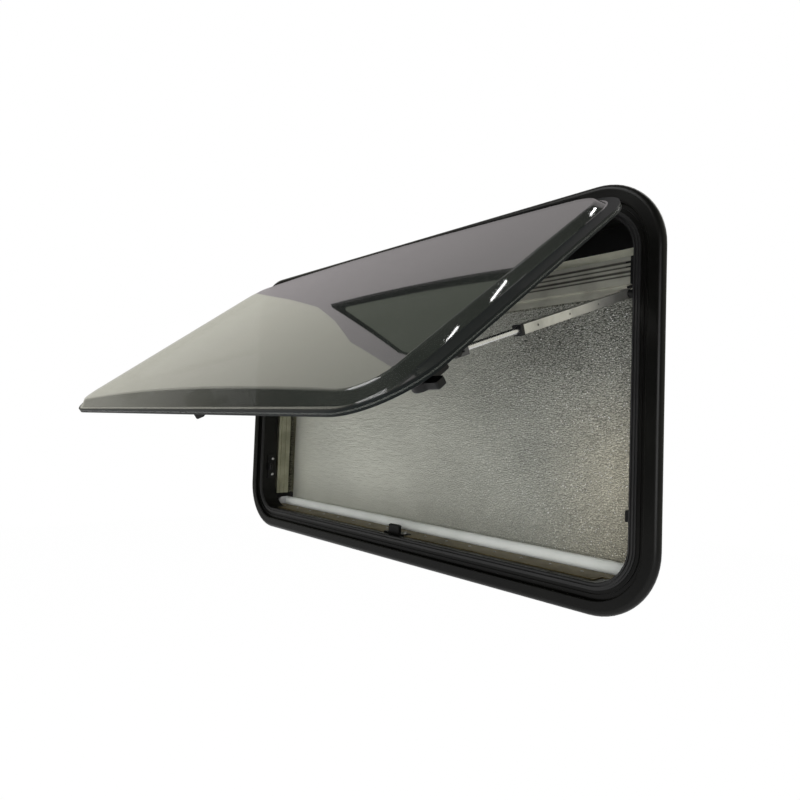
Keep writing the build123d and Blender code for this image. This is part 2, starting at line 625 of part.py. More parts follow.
# Strip clamped on the pane's top edge, with the bead that hangs in the hinge rail
with BuildPart() as pane_hinge_strip:
    with BuildSketch(pane_section(-HINGE_LENGTH / 2)):
        strip_start = PANE_TOP - STRIP_WALL
        Circle(BEAD_RADIUS)
        with Locations((strip_start / 2, 0)):
            Rectangle(strip_start, WEB_THICKNESS)
        strip_sides = (
            (STRIP_WALL, -RIM_THICKNESS - STRIP_WALL, STRIP_INNER_WALL),
            (STRIP_WALL + STRIP_INNER_REACH, 0, STRIP_INNER_WALL),
            (STRIP_WALL + STRIP_OUTER_REACH, -RIM_THICKNESS - STRIP_WALL, -RIM_THICKNESS),
        )
        for length, low, high in strip_sides:
            with Locations((strip_start + length / 2, (low + high) / 2)):
                Rectangle(length, high - low)
    extrude(amount=HINGE_LENGTH)
save(pane_hinge_strip, "pane_hinge_strip")

# Bracket on the pane with two ears and the pin between them
ear_start = CRADLE_WIDTH / 2 + BRACKET_EAR_GAP
for name, side in SIDES:
    with BuildPart() as stay_bracket:
        with BuildSketch(pane_plane(side * STAY_X, STAY_PIN_U, 0)):
            RectangleRounded(BRACKET_FOOT_WIDTH, BRACKET_FOOT_LENGTH, BRACKET_FOOT_RADIUS)
            with Locations((-BRACKET_SCREW_PITCH / 2, 0), (BRACKET_SCREW_PITCH / 2, 0)):
                Circle(SCREW_RADIUS + HOLE_CLEARANCE, mode=Mode.SUBTRACT)
        extrude(amount=-BRACKET_BASE)
        for start in (-ear_start - BRACKET_EAR, ear_start):
            with BuildSketch(pane_section(side * STAY_X + start)):
                with Locations((STAY_PIN_U, STAY_PIN_DEPTH)):
                    Circle(BRACKET_EAR_RADIUS)
                with Locations((STAY_PIN_U, STAY_PIN_DEPTH / 2)):
                    Rectangle(2 * BRACKET_EAR_RADIUS, STAY_PIN_DEPTH)
            extrude(amount=BRACKET_EAR)
        with BuildSketch(pane_section(side * STAY_X)):
            with Locations((STAY_PIN_U, STAY_PIN_DEPTH)):
                Circle(PIVOT_RADIUS)
        extrude(amount=ear_start, both=True)
    save(stay_bracket, f"stay_bracket_{name}")

with BuildPart() as bracket_screws:
    for x, u in BRACKET_SCREW_PLACES:
        seat = pane_plane(x, u, 0)
        inward = Plane(origin=seat.origin, x_dir=seat.x_dir, z_dir=-seat.z_dir)
        add_screw(inward, (0, 0), BRACKET_BASE, SHEET_THICKNESS)
save(bracket_screws, "bracket_screws")

# Stay sleeve, a square tube with an eye on the jamb's pivot
sleeve_holes = [(SLEEVE_HOLE_START + k * SLEEVE_HOLE_PITCH, 0) for k in range(SLEEVE_HOLES)]
tube_inside = SLEEVE_SIZE - 2 * TUBE_WALL
for name, side in SIDES:
    with BuildPart() as stay_sleeve:
        with BuildSketch(stay_section(side * STAY_X)):
            Circle(EYE_RADIUS)
            with Locations((SLEEVE_LENGTH / 2, 0)):
                Rectangle(SLEEVE_LENGTH, SLEEVE_SIZE)
            Circle(PIVOT_RADIUS + RUNNING_CLEARANCE, mode=Mode.SUBTRACT)
            with Locations(sleeve_holes):
                Circle(SLEEVE_HOLE_RADIUS, mode=Mode.SUBTRACT)
        extrude(amount=SLEEVE_SIZE / 2, both=True)
        with BuildSketch(stay_section(side * STAY_X)):
            with Locations(((EYE_BLOCK + SLEEVE_LENGTH) / 2, 0)):
                Rectangle(SLEEVE_LENGTH - EYE_BLOCK, tube_inside)
        extrude(amount=tube_inside / 2, both=True, mode=Mode.SUBTRACT)
    save(stay_sleeve, f"stay_sleeve_{name}")


def stay_cross_section(side, distance):
    """Plane across a stay at a distance from its pivot that faces the pin."""
    return Plane(
        origin=stay_section(side * STAY_X).from_local_coords((distance, 0, 0)),
        x_dir=(1, 0, 0),
        z_dir=STAY_ALONG,
    )


# Black collar that guides the rod
for name, side in SIDES:
    with BuildPart() as sleeve_collar:
        with BuildSketch(stay_cross_section(side, SLEEVE_LENGTH - COLLAR_POCKET)):
            Rectangle(COLLAR_SIZE, COLLAR_SIZE)
            Rectangle(SLEEVE_SIZE, SLEEVE_SIZE, mode=Mode.SUBTRACT)
        extrude(amount=COLLAR_POCKET)
        with BuildSketch(stay_cross_section(side, SLEEVE_LENGTH)):
            Rectangle(COLLAR_SIZE, COLLAR_SIZE)
            Circle(ROD_RADIUS + RUNNING_CLEARANCE, mode=Mode.SUBTRACT)
        extrude(amount=COLLAR_WALL)
    save(sleeve_collar, f"sleeve_collar_{name}")

# Rod that slides in the sleeve
rod_tip = STAY_LENGTH - ROD_CAP_END - ROD_CAP_WALL
for name, side in SIDES:
    with BuildPart() as stay_rod:
        with BuildSketch(stay_cross_section(side, rod_tip)):
            Circle(ROD_RADIUS)
        extrude(amount=-ROD_LENGTH)
    save(stay_rod, f"stay_rod_{name}")

# Rod end, a cradle under the bracket's pin that is open towards the hinge
cradle_inner = PIVOT_RADIUS + RUNNING_CLEARANCE
cradle_outer = cradle_inner + CRADLE_WALL
cap_length = ROD_CAP_START - ROD_CAP_END
mouth_span = 360 - CRADLE_LAST_ANGLE + CRADLE_FIRST_ANGLE
mouth_bearings = [radians(CRADLE_LAST_ANGLE + k * mouth_span / 4) for k in range(5)]
mouth_radius = 3 * cradle_outer
for name, side in SIDES:
    with BuildPart() as rod_end:
        with BuildSketch(stay_section(side * STAY_X)):
            with Locations((STAY_LENGTH, 0)):
                Circle(cradle_outer)
            with BuildLine():
                fan = [
                    (STAY_LENGTH + mouth_radius * cos(bearing), mouth_radius * sin(bearing))
                    for bearing in mouth_bearings
                ]
                Polyline((STAY_LENGTH, 0), *fan, close=True)
            make_face(mode=Mode.SUBTRACT)
            with Locations((STAY_LENGTH - ROD_CAP_END / 2, (cradle_inner + cradle_outer) / 2)):
                Rectangle(ROD_CAP_END, CRADLE_WALL)
            with Locations((STAY_LENGTH, 0)):
                Circle(cradle_inner, mode=Mode.SUBTRACT)
            cap_bottom = cradle_outer
            with Locations(
                (
                    STAY_LENGTH - (ROD_CAP_START + ROD_CAP_END) / 2,
                    (cap_bottom - ROD_CAP_HALF_HEIGHT) / 2,
                )
            ):
                Rectangle(cap_length, cap_bottom + ROD_CAP_HALF_HEIGHT)
        extrude(amount=CRADLE_WIDTH / 2, both=True)
        with BuildSketch(stay_cross_section(side, rod_tip)):
            Circle(ROD_RADIUS)
        extrude(amount=-cap_length, mode=Mode.SUBTRACT)
    save(rod_end, f"rod_end_{name}")

# Anchor on the jamb with the stay's pivot
boss_length = CLEAR_WIDTH / 2 - STAY_X - SLEEVE_SIZE / 2 - STAY_SIDE_GAP
pivot_length = CLEAR_WIDTH / 2 - STAY_X + SLEEVE_SIZE / 2 + STAY_SIDE_GAP
for name, side in SIDES:
    jamb = jamb_plane(side)
    seat = jamb_point(side, STAY_PIVOT_Y, STAY_PIVOT_Z)
    with BuildPart() as stay_anchor:
        with BuildSketch(jamb):
            with Locations(seat):
                Rectangle(ANCHOR_WIDTH, ANCHOR_HEIGHT)
                with Locations((0, -ANCHOR_SCREW_PITCH / 2), (0, ANCHOR_SCREW_PITCH / 2)):
                    Circle(SCREW_RADIUS + HOLE_CLEARANCE, mode=Mode.SUBTRACT)
        extrude(amount=ANCHOR_PLATE)
        for radius, start, end in (
            (ANCHOR_BOSS_RADIUS, 0, boss_length),
            (PIVOT_RADIUS, 0, pivot_length),
            (PIVOT_HEAD_RADIUS, pivot_length, pivot_length + PIVOT_HEAD_THICKNESS),
        ):
            with BuildSketch(jamb.offset(start)):
                with Locations(seat):
                    Circle(radius)
            extrude(amount=end - start)
    save(stay_anchor, f"stay_anchor_{name}")

with BuildPart() as anchor_screws:
    for jamb, place in ANCHOR_SCREW_PLACES:
        add_screw(jamb, place, ANCHOR_PLATE, SCREW_BITE)
save(anchor_screws, "anchor_screws")

# Latch bases on the pane
base_height = LATCH_ARM_START - LATCH_HUB_GAP
for name, x, u, _, _ in LATCHES:
    with BuildPart() as latch_base:
        with BuildSketch(pane_plane(x, u, 0)):
            RectangleRounded(LATCH_BASE_WIDTH, LATCH_BASE_LENGTH, LATCH_BASE_RADIUS)
        extrude(amount=-base_height)
        crown_face = latch_base.faces().sort_by(PANE_OUT)[0]
        fillet(crown_face.edges(), radius=LATCH_BASE_FILLET)
        with BuildSketch(pane_plane(x, u, -base_height)):
            Circle(LATCH_SHAFT_RADIUS + RUNNING_CLEARANCE)
        extrude(amount=LATCH_SHAFT_LENGTH, mode=Mode.SUBTRACT)
        for radius, start in (
            (SCREW_RADIUS + HOLE_CLEARANCE, 0),
            (SCREW_HEAD_RADIUS + SOFT_CLEARANCE, -LATCH_SCREW_SEAT),
        ):
            with BuildSketch(pane_plane(x, u, start)):
                with Locations((0, -LATCH_SCREW_PITCH / 2), (0, LATCH_SCREW_PITCH / 2)):
                    Circle(radius)
            extrude(amount=-base_height, mode=Mode.SUBTRACT)
    save(latch_base, f"latch_base_{name}")

with BuildPart() as latch_screws:
    for x, u in LATCH_SCREW_PLACES:
        seat = pane_plane(x, u, 0)
        inward = Plane(origin=seat.origin, x_dir=seat.x_dir, z_dir=-seat.z_dir)
        add_screw(inward, (0, 0), LATCH_SCREW_SEAT, SHEET_THICKNESS)
save(latch_screws, "latch_screws")

# Latch levers with a grip and a tongue at right angles
for name, x, u, grip_bearing, tongue_turn in LATCHES:
    with BuildPart() as latch_lever:
        with BuildSketch(pane_plane(x, u, -LATCH_ARM_START)) as arms:
            Circle(LATCH_HUB_RADIUS)
            for bearing, length, width in (
                (grip_bearing, LATCH_GRIP_LENGTH, LATCH_GRIP_WIDTH),
                (grip_bearing + tongue_turn, LATCH_TONGUE_LENGTH, LATCH_TONGUE_WIDTH),
            ):
                with Locations(Location((0, 0, 0), (0, 0, bearing))):
                    with Locations((length / 2, 0)):
                        Rectangle(length, width)
            fillet(arms.vertices(), radius=LATCH_ARM_CORNER)
        extrude(amount=LATCH_ARM_START - LATCH_ARM_END)
        top_face = latch_lever.faces().sort_by(PANE_OUT)[0]
        fillet(top_face.outer_wire().edges(), radius=LATCH_ARM_FILLET)
        with BuildSketch(pane_plane(x, u, -LATCH_ARM_START)):
            Circle(LATCH_SHAFT_RADIUS)
        extrude(amount=LATCH_SHAFT_LENGTH)
    save(latch_lever, f"latch_lever_{name}")

# Strikers in the frame
for name, plane, seat, block in STRIKER_SEATS:
    with BuildPart() as striker:
        plate_middle = STRIKER_PLATE_START + STRIKER_PLATE_WIDTH / 2
        with BuildSketch(plane):
            with Locations((plate_middle, seat[1])):
                Rectangle(STRIKER_PLATE_WIDTH, STRIKER_PLATE_LENGTH)
            with Locations(
                (STRIKER_SCREW_Y, seat[1] - STRIKER_SCREW_PITCH / 2),
                (STRIKER_SCREW_Y, seat[1] + STRIKER_SCREW_PITCH / 2),
            ):
                Circle(SCREW_RADIUS + HOLE_CLEARANCE, mode=Mode.SUBTRACT)
        extrude(amount=STRIKER_PLATE)
        with BuildSketch(plane):
            with Locations((STRIKER_PLATE_START + STRIKER_BLOCK_WIDTH / 2, seat[1])):
                Rectangle(STRIKER_BLOCK_WIDTH, block[0])
        extrude(amount=block[1])
        block_end = striker.faces().sort_by(Axis(plane.origin, plane.z_dir))[-1]
        chamfer(block_end.edges(), length=STRIKER_CHAMFER)
    save(striker, f"striker_{name}")

with BuildPart() as striker_screws:
    for plane, place in STRIKER_SCREW_PLACES:
        add_screw(plane, place, STRIKER_PLATE, SCREW_BITE)
save(striker_screws, "striker_screws")

# Inner frame, a flange on the wall's inner face with a box behind it
with BuildPart() as inner_frame:
    ring(CLEAR_REACH, INNER_FLANGE_REACH, WALL_THICKNESS, INNER_FLANGE_BACK_Y)
    with BuildSketch(wall_plane(INNER_FLANGE_BACK_Y)):
        RectangleRounded(
            BOX_WIDTH + 2 * BOX_WALL, BOX_HEIGHT + 2 * BOX_WALL, BOX_RADIUS + BOX_WALL
        )
        RectangleRounded(BOX_WIDTH, BOX_HEIGHT, BOX_RADIUS, mode=Mode.SUBTRACT)
    extrude(amount=-BOX_DEPTH)
    for radius, start in (
        (CLAMP_SCREW_RADIUS + HOLE_CLEARANCE, WALL_THICKNESS),
        (CLAMP_HEAD_RADIUS + HOLE_CLEARANCE, INNER_FLANGE_BACK_Y - CLAMP_HEAD_HEIGHT),
    ):
        with BuildSketch(wall_plane(start)):
            with Locations(CLAMP_SCREW_PLACES):
                Circle(radius)
        extrude(amount=start - INNER_FLANGE_BACK_Y, mode=Mode.SUBTRACT)
save(inner_frame, "inner_frame")

# Screws that pull the two frames together on the wall
with BuildPart() as clamp_screws:
    for radius, start, end in (
        (CLAMP_SCREW_RADIUS, WALL_THICKNESS - CLAMP_SCREW_BITE, INNER_FLANGE_BACK_Y),
        (CLAMP_HEAD_RADIUS, INNER_FLANGE_BACK_Y - CLAMP_HEAD_HEIGHT, INNER_FLANGE_BACK_Y),
    ):
        with BuildSketch(wall_plane(start)):
            with Locations(CLAMP_SCREW_PLACES):
                Circle(radius)
        extrude(amount=start - end)
save(clamp_screws, "clamp_screws")

# Aluminium side rails with a slot for the blind and one for the flyscreen
front_middle = INNER_FLANGE_BACK_Y + RAIL_FRONT_DEPTH / 2
rail_length = 2 * RAIL_TOP_Z
for name, side in SIDES:
    with BuildPart() as side_rail:
        with BuildSketch(Plane.XY.offset(-RAIL_TOP_Z)):
            with Locations(
                (side * (RAIL_INNER_X + RAIL_OUTER_X) / 2, (INNER_FLANGE_BACK_Y + RAIL_BACK_Y) / 2)
            ):
                Rectangle(RAIL_WIDTH, RAIL_BACK_Y - INNER_FLANGE_BACK_Y)
            with Locations((side * (RAIL_INNER_X + RAIL_OUTER_X) / 2, front_middle)):
                Rectangle(
                    RAIL_WIDTH - 2 * RAIL_WALL, RAIL_FRONT_DEPTH - 2 * RAIL_WALL, mode=Mode.SUBTRACT
                )
            for start, depth in ((BLIND_SLOT_Y, BLIND_SLOT), (FLY_SLOT_Y, FLY_SLOT)):
                with Locations((side * (RAIL_INNER_X - RAIL_WALL + RAIL_WIDTH / 2), start + depth / 2)):
                    Rectangle(RAIL_WIDTH, depth, mode=Mode.SUBTRACT)
            with Locations(
                [(side * RAIL_INNER_X, INNER_FLANGE_BACK_Y + start) for start in RAIL_GROOVE_STARTS]
            ):
                Rectangle(2 * RAIL_GROOVE_DEPTH, RAIL_GROOVE_WIDTH, mode=Mode.SUBTRACT)
        extrude(amount=rail_length)
    save(side_rail, f"side_rail_{name}")

# Brushes along the front of the blind slots
brush_outer_x = RAIL_OUTER_X - RAIL_WALL
for name, side in SIDES:
    with BuildPart() as brush_seal:
        with BuildSketch(Plane.XY.offset(-RAIL_TOP_Z)):
            with Locations(
                (
                    side * (RAIL_INNER_X + BRUSH_SETBACK + brush_outer_x) / 2,
                    BLIND_SLOT_Y + BRUSH_DEPTH / 2,
                )
            ):
                Rectangle(brush_outer_x - RAIL_INNER_X - BRUSH_SETBACK, BRUSH_DEPTH)
        extrude(amount=rail_length)
    save(brush_seal, f"brush_seal_{name}")

# Sill strip with a notch round the bottom striker
SILL_Z = -CLEAR_HEIGHT / 2
sill_front_length = CLEAR_WIDTH - 2 * (CUTOUT_RADIUS + CLEAR_REACH + SILL_FRONT_INSET)
sill_back_length = BOX_WIDTH - 2 * SILL_BACK_INSET
sill_rivets_along = spread(int(sill_back_length // SILL_RIVET_PITCH), SILL_RIVET_PITCH)
sill_rivet_places = [(x, INNER_FLANGE_BACK_Y + SILL_RIVET_INSET) for x in sill_rivets_along]
with BuildPart() as sill_strip:
    with BuildSketch(Plane.XY.offset(SILL_Z)):
        with Locations((0, (SILL_FRONT_Y + INNER_FLANGE_BACK_Y) / 2)):
            Rectangle(sill_front_length, INNER_FLANGE_BACK_Y - SILL_FRONT_Y)
        with Locations((0, (INNER_FLANGE_BACK_Y + SILL_BACK_Y) / 2)):
            Rectangle(sill_back_length, SILL_BACK_Y - INNER_FLANGE_BACK_Y)
        with Locations((0, STRIKER_PLATE_START + STRIKER_PLATE_WIDTH / 2)):
            Rectangle(
                STRIKER_PLATE_LENGTH + 2 * SOFT_CLEARANCE,
                STRIKER_PLATE_WIDTH + 2 * SOFT_CLEARANCE,
                mode=Mode.SUBTRACT,
            )
        with Locations(sill_rivet_places):
            Circle(SILL_RIVET_RADIUS + HOLE_CLEARANCE, mode=Mode.SUBTRACT)
    extrude(amount=SILL_THICKNESS)
    with BuildSketch(Plane.XY.offset(SILL_Z)):
        with Locations((0, SILL_BACK_Y - SILL_THICKNESS / 2)):
            Rectangle(sill_back_length, SILL_THICKNESS)
    extrude(amount=-(BOX_HEIGHT / 2 + SILL_Z))
save(sill_strip, "sill_strip")

with BuildPart() as sill_rivets:
    with BuildSketch(Plane.XY.offset(SILL_Z - SILL_RIVET_TAIL)):
        with Locations(sill_rivet_places):
            Circle(SILL_RIVET_RADIUS)
    extrude(amount=SILL_RIVET_TAIL + SILL_THICKNESS)
    with BuildSketch(Plane.XY.offset(SILL_Z + SILL_THICKNESS)):
        with Locations(sill_rivet_places):
            Circle(SILL_RIVET_HEAD_RADIUS)
    extrude(amount=SILL_RIVET_HEAD_HEIGHT)
save(sill_rivets, "sill_rivets")

BAR_LENGTH = 2 * BAR_HALF_LENGTH


def hollow_bar(back, depth, bottom, height, front_wall):
    """Tube between the caps, its outer wall front_wall thick."""
    with Locations((0, back - depth / 2, bottom + height / 2)):
        Box(BAR_LENGTH, depth, height)
    inside_depth = depth - front_wall - BAR_WALL
    with Locations((0, back - BAR_WALL - inside_depth / 2, bottom + height / 2)):
        Box(BAR_LENGTH, inside_depth, height - 2 * BAR_WALL, mode=Mode.SUBTRACT)


def bar_cap(side, back, depth, bottom, height):
    """End cap of a bar with the tongue that runs in the rail's slot."""
    cap_end = RAIL_INNER_X - CAP_CLEARANCE
    tongue_end = RAIL_OUTER_X - RAIL_WALL - TONGUE_END_CLEARANCE
    for start, end, thickness in (
        (BAR_HALF_LENGTH, cap_end, depth),
        (cap_end, tongue_end, TONGUE_DEPTH),
    ):
        with Locations((side * (start + end) / 2, back - thickness / 2, bottom + height / 2)):
            Box(end - start, thickness, height)


def cap_box(side, start, end, front, back, bottom, top):
    """Block of a cap between two distances from the middle."""
    with Locations((side * (start + end) / 2, (front + back) / 2, (bottom + top) / 2)):
        Box(end - start, back - front, top - bottom)


# Blind bar, grooved on its outer face, with a web and a lip that holds the fabric
with BuildPart() as blind_bar:
    hollow_bar(
        BLIND_BAR_BACK_Y, BLIND_BAR_DEPTH, BLIND_BAR_BOTTOM_Z, BLIND_BAR_HEIGHT, BLIND_BAR_FRONT_WALL
    )
    for drop, (depth, width) in BAR_GROOVES:
        with Locations((0, BLIND_BAR_FRONT_Y, BLIND_BAR_TOP_Z - drop)):
            Box(BAR_LENGTH, 2 * depth, width, mode=Mode.SUBTRACT)
    with Locations((0, BLIND_FABRIC_Y, BLIND_LIP_TOP_Z + BLIND_WEB_HEIGHT / 2)):
        Box(BAR_LENGTH, BLIND_WEB_THICKNESS, BLIND_WEB_HEIGHT)
    with Locations((0, BLIND_FABRIC_Y, BLIND_LIP_TOP_Z - BLIND_LIP_HEIGHT / 2)):
        Box(BAR_LENGTH, BLIND_LIP_THICKNESS, BLIND_LIP_HEIGHT)
save(blind_bar, "blind_bar")

with BuildPart() as fly_bar:
    hollow_bar(FLY_BAR_BACK_Y, FLY_BAR_DEPTH, FLY_BAR_BOTTOM_Z, FLY_BAR_HEIGHT, BAR_WALL)
save(fly_bar, "fly_bar")

# Caps of the blind bar, whose fins reach into its upper grooves and in front of its web
fin_start = BAR_HALF_LENGTH - FIN_LENGTH
lip_front_y = BLIND_FABRIC_Y - BLIND_LIP_THICKNESS / 2
web_front_y = BLIND_FABRIC_Y - BLIND_WEB_THICKNESS / 2
web_fin_z = BLIND_LIP_TOP_Z + BLIND_WEB_HEIGHT / 2
for name, side in SIDES:
    with BuildPart() as blind_cap:
        bar_cap(side, BLIND_BAR_BACK_Y, BLIND_BAR_DEPTH, BLIND_BAR_BOTTOM_Z, BLIND_BAR_HEIGHT)
        cap_box(
            side,
            BAR_HALF_LENGTH,
            RAIL_INNER_X - CAP_CLEARANCE,
            lip_front_y,
            lip_front_y + BLIND_LIP_THICKNESS,
            BLIND_LIP_BOTTOM_Z,
            BLIND_BAR_BOTTOM_Z,
        )
        for drop, (depth, width) in BAR_GROOVES[:FIN_GROOVES]:
            cap_box(
                side,
                fin_start,
                BAR_HALF_LENGTH,
                BLIND_BAR_FRONT_Y,
                BLIND_BAR_FRONT_Y + depth,
                BLIND_BAR_TOP_Z - drop - width / 2 + HOLE_CLEARANCE,
                BLIND_BAR_TOP_Z - drop + width / 2 - HOLE_CLEARANCE,
            )
        cap_box(
            side,
            fin_start,
            RAIL_INNER_X - CAP_CLEARANCE,
            web_front_y - FIN_SETBACK,
            web_front_y,
            web_fin_z - FIN_HEIGHT / 2,
            web_fin_z + FIN_HEIGHT / 2,
        )
    save(blind_cap, f"blind_bar_cap_{name}")
    with BuildPart() as fly_cap:
        bar_cap(side, FLY_BAR_BACK_Y, FLY_BAR_DEPTH, FLY_BAR_BOTTOM_Z, FLY_BAR_HEIGHT)
    save(fly_cap, f"fly_bar_cap_{name}")

# Fabrics from their rollers to their bars
blind_half_width = RAIL_OUTER_X - RAIL_WALL - BLIND_EDGE_CLEARANCE
with BuildPart() as blind_fabric:
    with Locations((0, BLIND_FABRIC_Y, (ROLLER_Z + BLIND_LIP_BOTTOM_Z) / 2)):
        Box(2 * blind_half_width, BLIND_FABRIC_THICKNESS, BLIND_LIP_BOTTOM_Z - ROLLER_Z)
save(blind_fabric, "blind_fabric")

fly_bar_top = FLY_BAR_BOTTOM_Z + FLY_BAR_HEIGHT
with BuildPart() as fly_mesh:
    with Locations((0, FLY_MESH_Y, (fly_bar_top + FLY_ROLLER_Z) / 2)):
        Box(2 * BAR_HALF_LENGTH, FLY_MESH_THICKNESS, FLY_ROLLER_Z - fly_bar_top)
save(fly_mesh, "fly_mesh")


def roller_plane(x, y, z):
    """Plane across a roller's axis that faces right."""
    return Plane(origin=(x, y, z), x_dir=(0, 1, 0), z_dir=(1, 0, 0))


def roller_tube(y, z, radius, half_length):
    """Tube along X."""
    with BuildSketch(roller_plane(-half_length, y, z)) as section:
        Circle(radius)
        Circle(radius - ROLLER_WALL, mode=Mode.SUBTRACT)
    extrude(section.sketch, amount=2 * half_length)


def roller_plugs(y, z, radius, half_length, stub_end):
    """Plugs in both ends of a tube, each with its stub axle."""
    for side in (-1, 1):
        for size, start, end in (
            (radius - ROLLER_WALL, half_length - PLUG_DEPTH, half_length),
            (STUB_RADIUS, half_length, stub_end),
        ):
            with BuildSketch(roller_plane(side * start, y, z)) as disc:
                Circle(size)
            extrude(disc.sketch, amount=side * (end - start))


# Blind roller between its brackets
bracket_inner_x = RAIL_OUTER_X - ROLLER_BRACKET_THICKNESS
roller_half_length = bracket_inner_x - ROLLER_END_GAP
with BuildPart() as blind_roller:
    roller_tube(BLIND_ROLLER_Y, ROLLER_Z, ROLLER_RADIUS, roller_half_length)
save(blind_roller, "blind_roller")

with BuildPart() as blind_roller_plugs:
    stub_end = RAIL_OUTER_X - HOLE_CLEARANCE
    roller_plugs(BLIND_ROLLER_Y, ROLLER_Z, ROLLER_RADIUS, roller_half_length, stub_end)
save(blind_roller_plugs, "blind_roller_plugs")

bracket_front_y = INNER_FLANGE_BACK_Y + ROLLER_BRACKET_START + ROLLER_RADIUS
for name, side in SIDES:
    with BuildPart() as roller_bracket:
        with BuildSketch(roller_plane(side * bracket_inner_x, BLIND_ROLLER_Y, ROLLER_Z)):
            Circle(ROLLER_RADIUS)
            with Locations((bracket_front_y - BLIND_ROLLER_Y, 0)):
                Circle(ROLLER_RADIUS)
            with Locations(((bracket_front_y - BLIND_ROLLER_Y) / 2, 0)):
                Rectangle(BLIND_ROLLER_Y - bracket_front_y, 2 * ROLLER_RADIUS)
            Circle(STUB_RADIUS + RUNNING_CLEARANCE, mode=Mode.SUBTRACT)
        extrude(amount=side * ROLLER_BRACKET_THICKNESS)
    save(roller_bracket, f"roller_bracket_{name}")

# Top cassette, open below, with the flyscreen's roller
end_inner_x = RAIL_OUTER_X - CASSETTE_END_THICKNESS
fly_roller_half_length = end_inner_x - ROLLER_END_GAP
cassette_top_z = BOX_HEIGHT / 2
cassette_middle_y = (CASSETTE_FRONT_Y + CASSETTE_BACK_Y) / 2
with BuildPart() as top_cassette:
    with Locations((0, cassette_middle_y, (CASSETTE_BOTTOM_Z + cassette_top_z) / 2)):
        Box(
            2 * end_inner_x, CASSETTE_BACK_Y - CASSETTE_FRONT_Y, cassette_top_z - CASSETTE_BOTTOM_Z
        )
    with Locations(
        (0, cassette_middle_y, (CASSETTE_BOTTOM_Z + cassette_top_z) / 2 - CASSETTE_WALL)
    ):
        Box(
            2 * end_inner_x,
            CASSETTE_BACK_Y - CASSETTE_FRONT_Y - 2 * CASSETTE_WALL,
            cassette_top_z - CASSETTE_BOTTOM_Z,
            mode=Mode.SUBTRACT,
        )
save(top_cassette, "top_cassette")

cassette_end_top_z = cassette_top_z - CORNER_CLEARANCE
for name, side in SIDES:
    with BuildPart() as cassette_end:
        with Locations(
            (
                side * (end_inner_x + RAIL_OUTER_X) / 2,
                cassette_middle_y,
                (CASSETTE_BOTTOM_Z + cassette_end_top_z) / 2,
            )
        ):
            Box(
                CASSETTE_END_THICKNESS,
                CASSETTE_BACK_Y - CASSETTE_FRONT_Y,
                cassette_end_top_z - CASSETTE_BOTTOM_Z,
            )
        with BuildSketch(roller_plane(side * end_inner_x, FLY_ROLLER_Y, FLY_ROLLER_Z)):
            Circle(STUB_RADIUS + RUNNING_CLEARANCE)
        extrude(amount=side * CASSETTE_END_THICKNESS, mode=Mode.SUBTRACT)
    save(cassette_end, f"cassette_end_{name}")

with BuildPart() as fly_roller:
    roller_tube(FLY_ROLLER_Y, FLY_ROLLER_Z, FLY_ROLLER_RADIUS, fly_roller_half_length)
save(fly_roller, "fly_roller")

with BuildPart() as fly_roller_plugs:
    stub_end = RAIL_OUTER_X - HOLE_CLEARANCE
    roller_plugs(FLY_ROLLER_Y, FLY_ROLLER_Z, FLY_ROLLER_RADIUS, fly_roller_half_length, stub_end)
save(fly_roller_plugs, "fly_roller_plugs")
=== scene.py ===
"""Looks of a top-hung caravan window that stands open on its stays.

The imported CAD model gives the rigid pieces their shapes, and this file gives them their finishes.
It also makes the foil blind, the insect net, the brush pile, the screws and the rivets.
Lengths are metres: X runs along the window, Y from outside to inside and Z up.
"""

from __future__ import annotations

import logging
import math
import sys
from dataclasses import dataclass
from enum import Enum
from types import MappingProxyType
from typing import Callable, Mapping, Sequence

import bmesh
import bpy
from bmesh.types import BMesh
from bpy.types import Material, Mesh, Node, NodeOutputs, NodeSocket, NodeTree, Object
from mathutils import Matrix, Vector, noise


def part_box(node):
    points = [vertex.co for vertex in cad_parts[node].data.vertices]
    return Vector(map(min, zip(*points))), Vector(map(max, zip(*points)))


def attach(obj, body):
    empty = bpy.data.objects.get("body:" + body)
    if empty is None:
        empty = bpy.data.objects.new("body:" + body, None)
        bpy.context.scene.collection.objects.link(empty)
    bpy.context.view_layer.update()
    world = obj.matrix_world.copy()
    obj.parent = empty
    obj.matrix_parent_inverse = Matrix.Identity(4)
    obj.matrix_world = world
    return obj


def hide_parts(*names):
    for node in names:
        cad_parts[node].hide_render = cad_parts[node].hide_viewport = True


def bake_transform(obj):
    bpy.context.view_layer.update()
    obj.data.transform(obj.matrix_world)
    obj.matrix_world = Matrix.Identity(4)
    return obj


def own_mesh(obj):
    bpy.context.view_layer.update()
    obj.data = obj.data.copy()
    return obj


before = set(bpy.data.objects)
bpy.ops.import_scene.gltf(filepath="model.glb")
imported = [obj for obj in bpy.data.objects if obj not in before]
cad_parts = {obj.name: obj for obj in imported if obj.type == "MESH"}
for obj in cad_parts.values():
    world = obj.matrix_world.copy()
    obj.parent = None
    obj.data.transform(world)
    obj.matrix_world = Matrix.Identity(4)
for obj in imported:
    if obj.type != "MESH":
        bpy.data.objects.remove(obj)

LOG = logging.getLogger("window")
OPEN_ANGLE = math.radians(53.6)
HINGE_Y = -0.0071
HINGE_Z = 0.2462
CUTOUT_HALF_WIDTH = 0.450
CUTOUT_HALF_HEIGHT = 0.240
CUTOUT_RADIUS = 0.064
Colour = tuple[float, float, float]
Turned = tuple[Sequence[float], Sequence[float]]
WHITE = (1.0, 1.0, 1.0)
NOTHING: Mapping = MappingProxyType({})


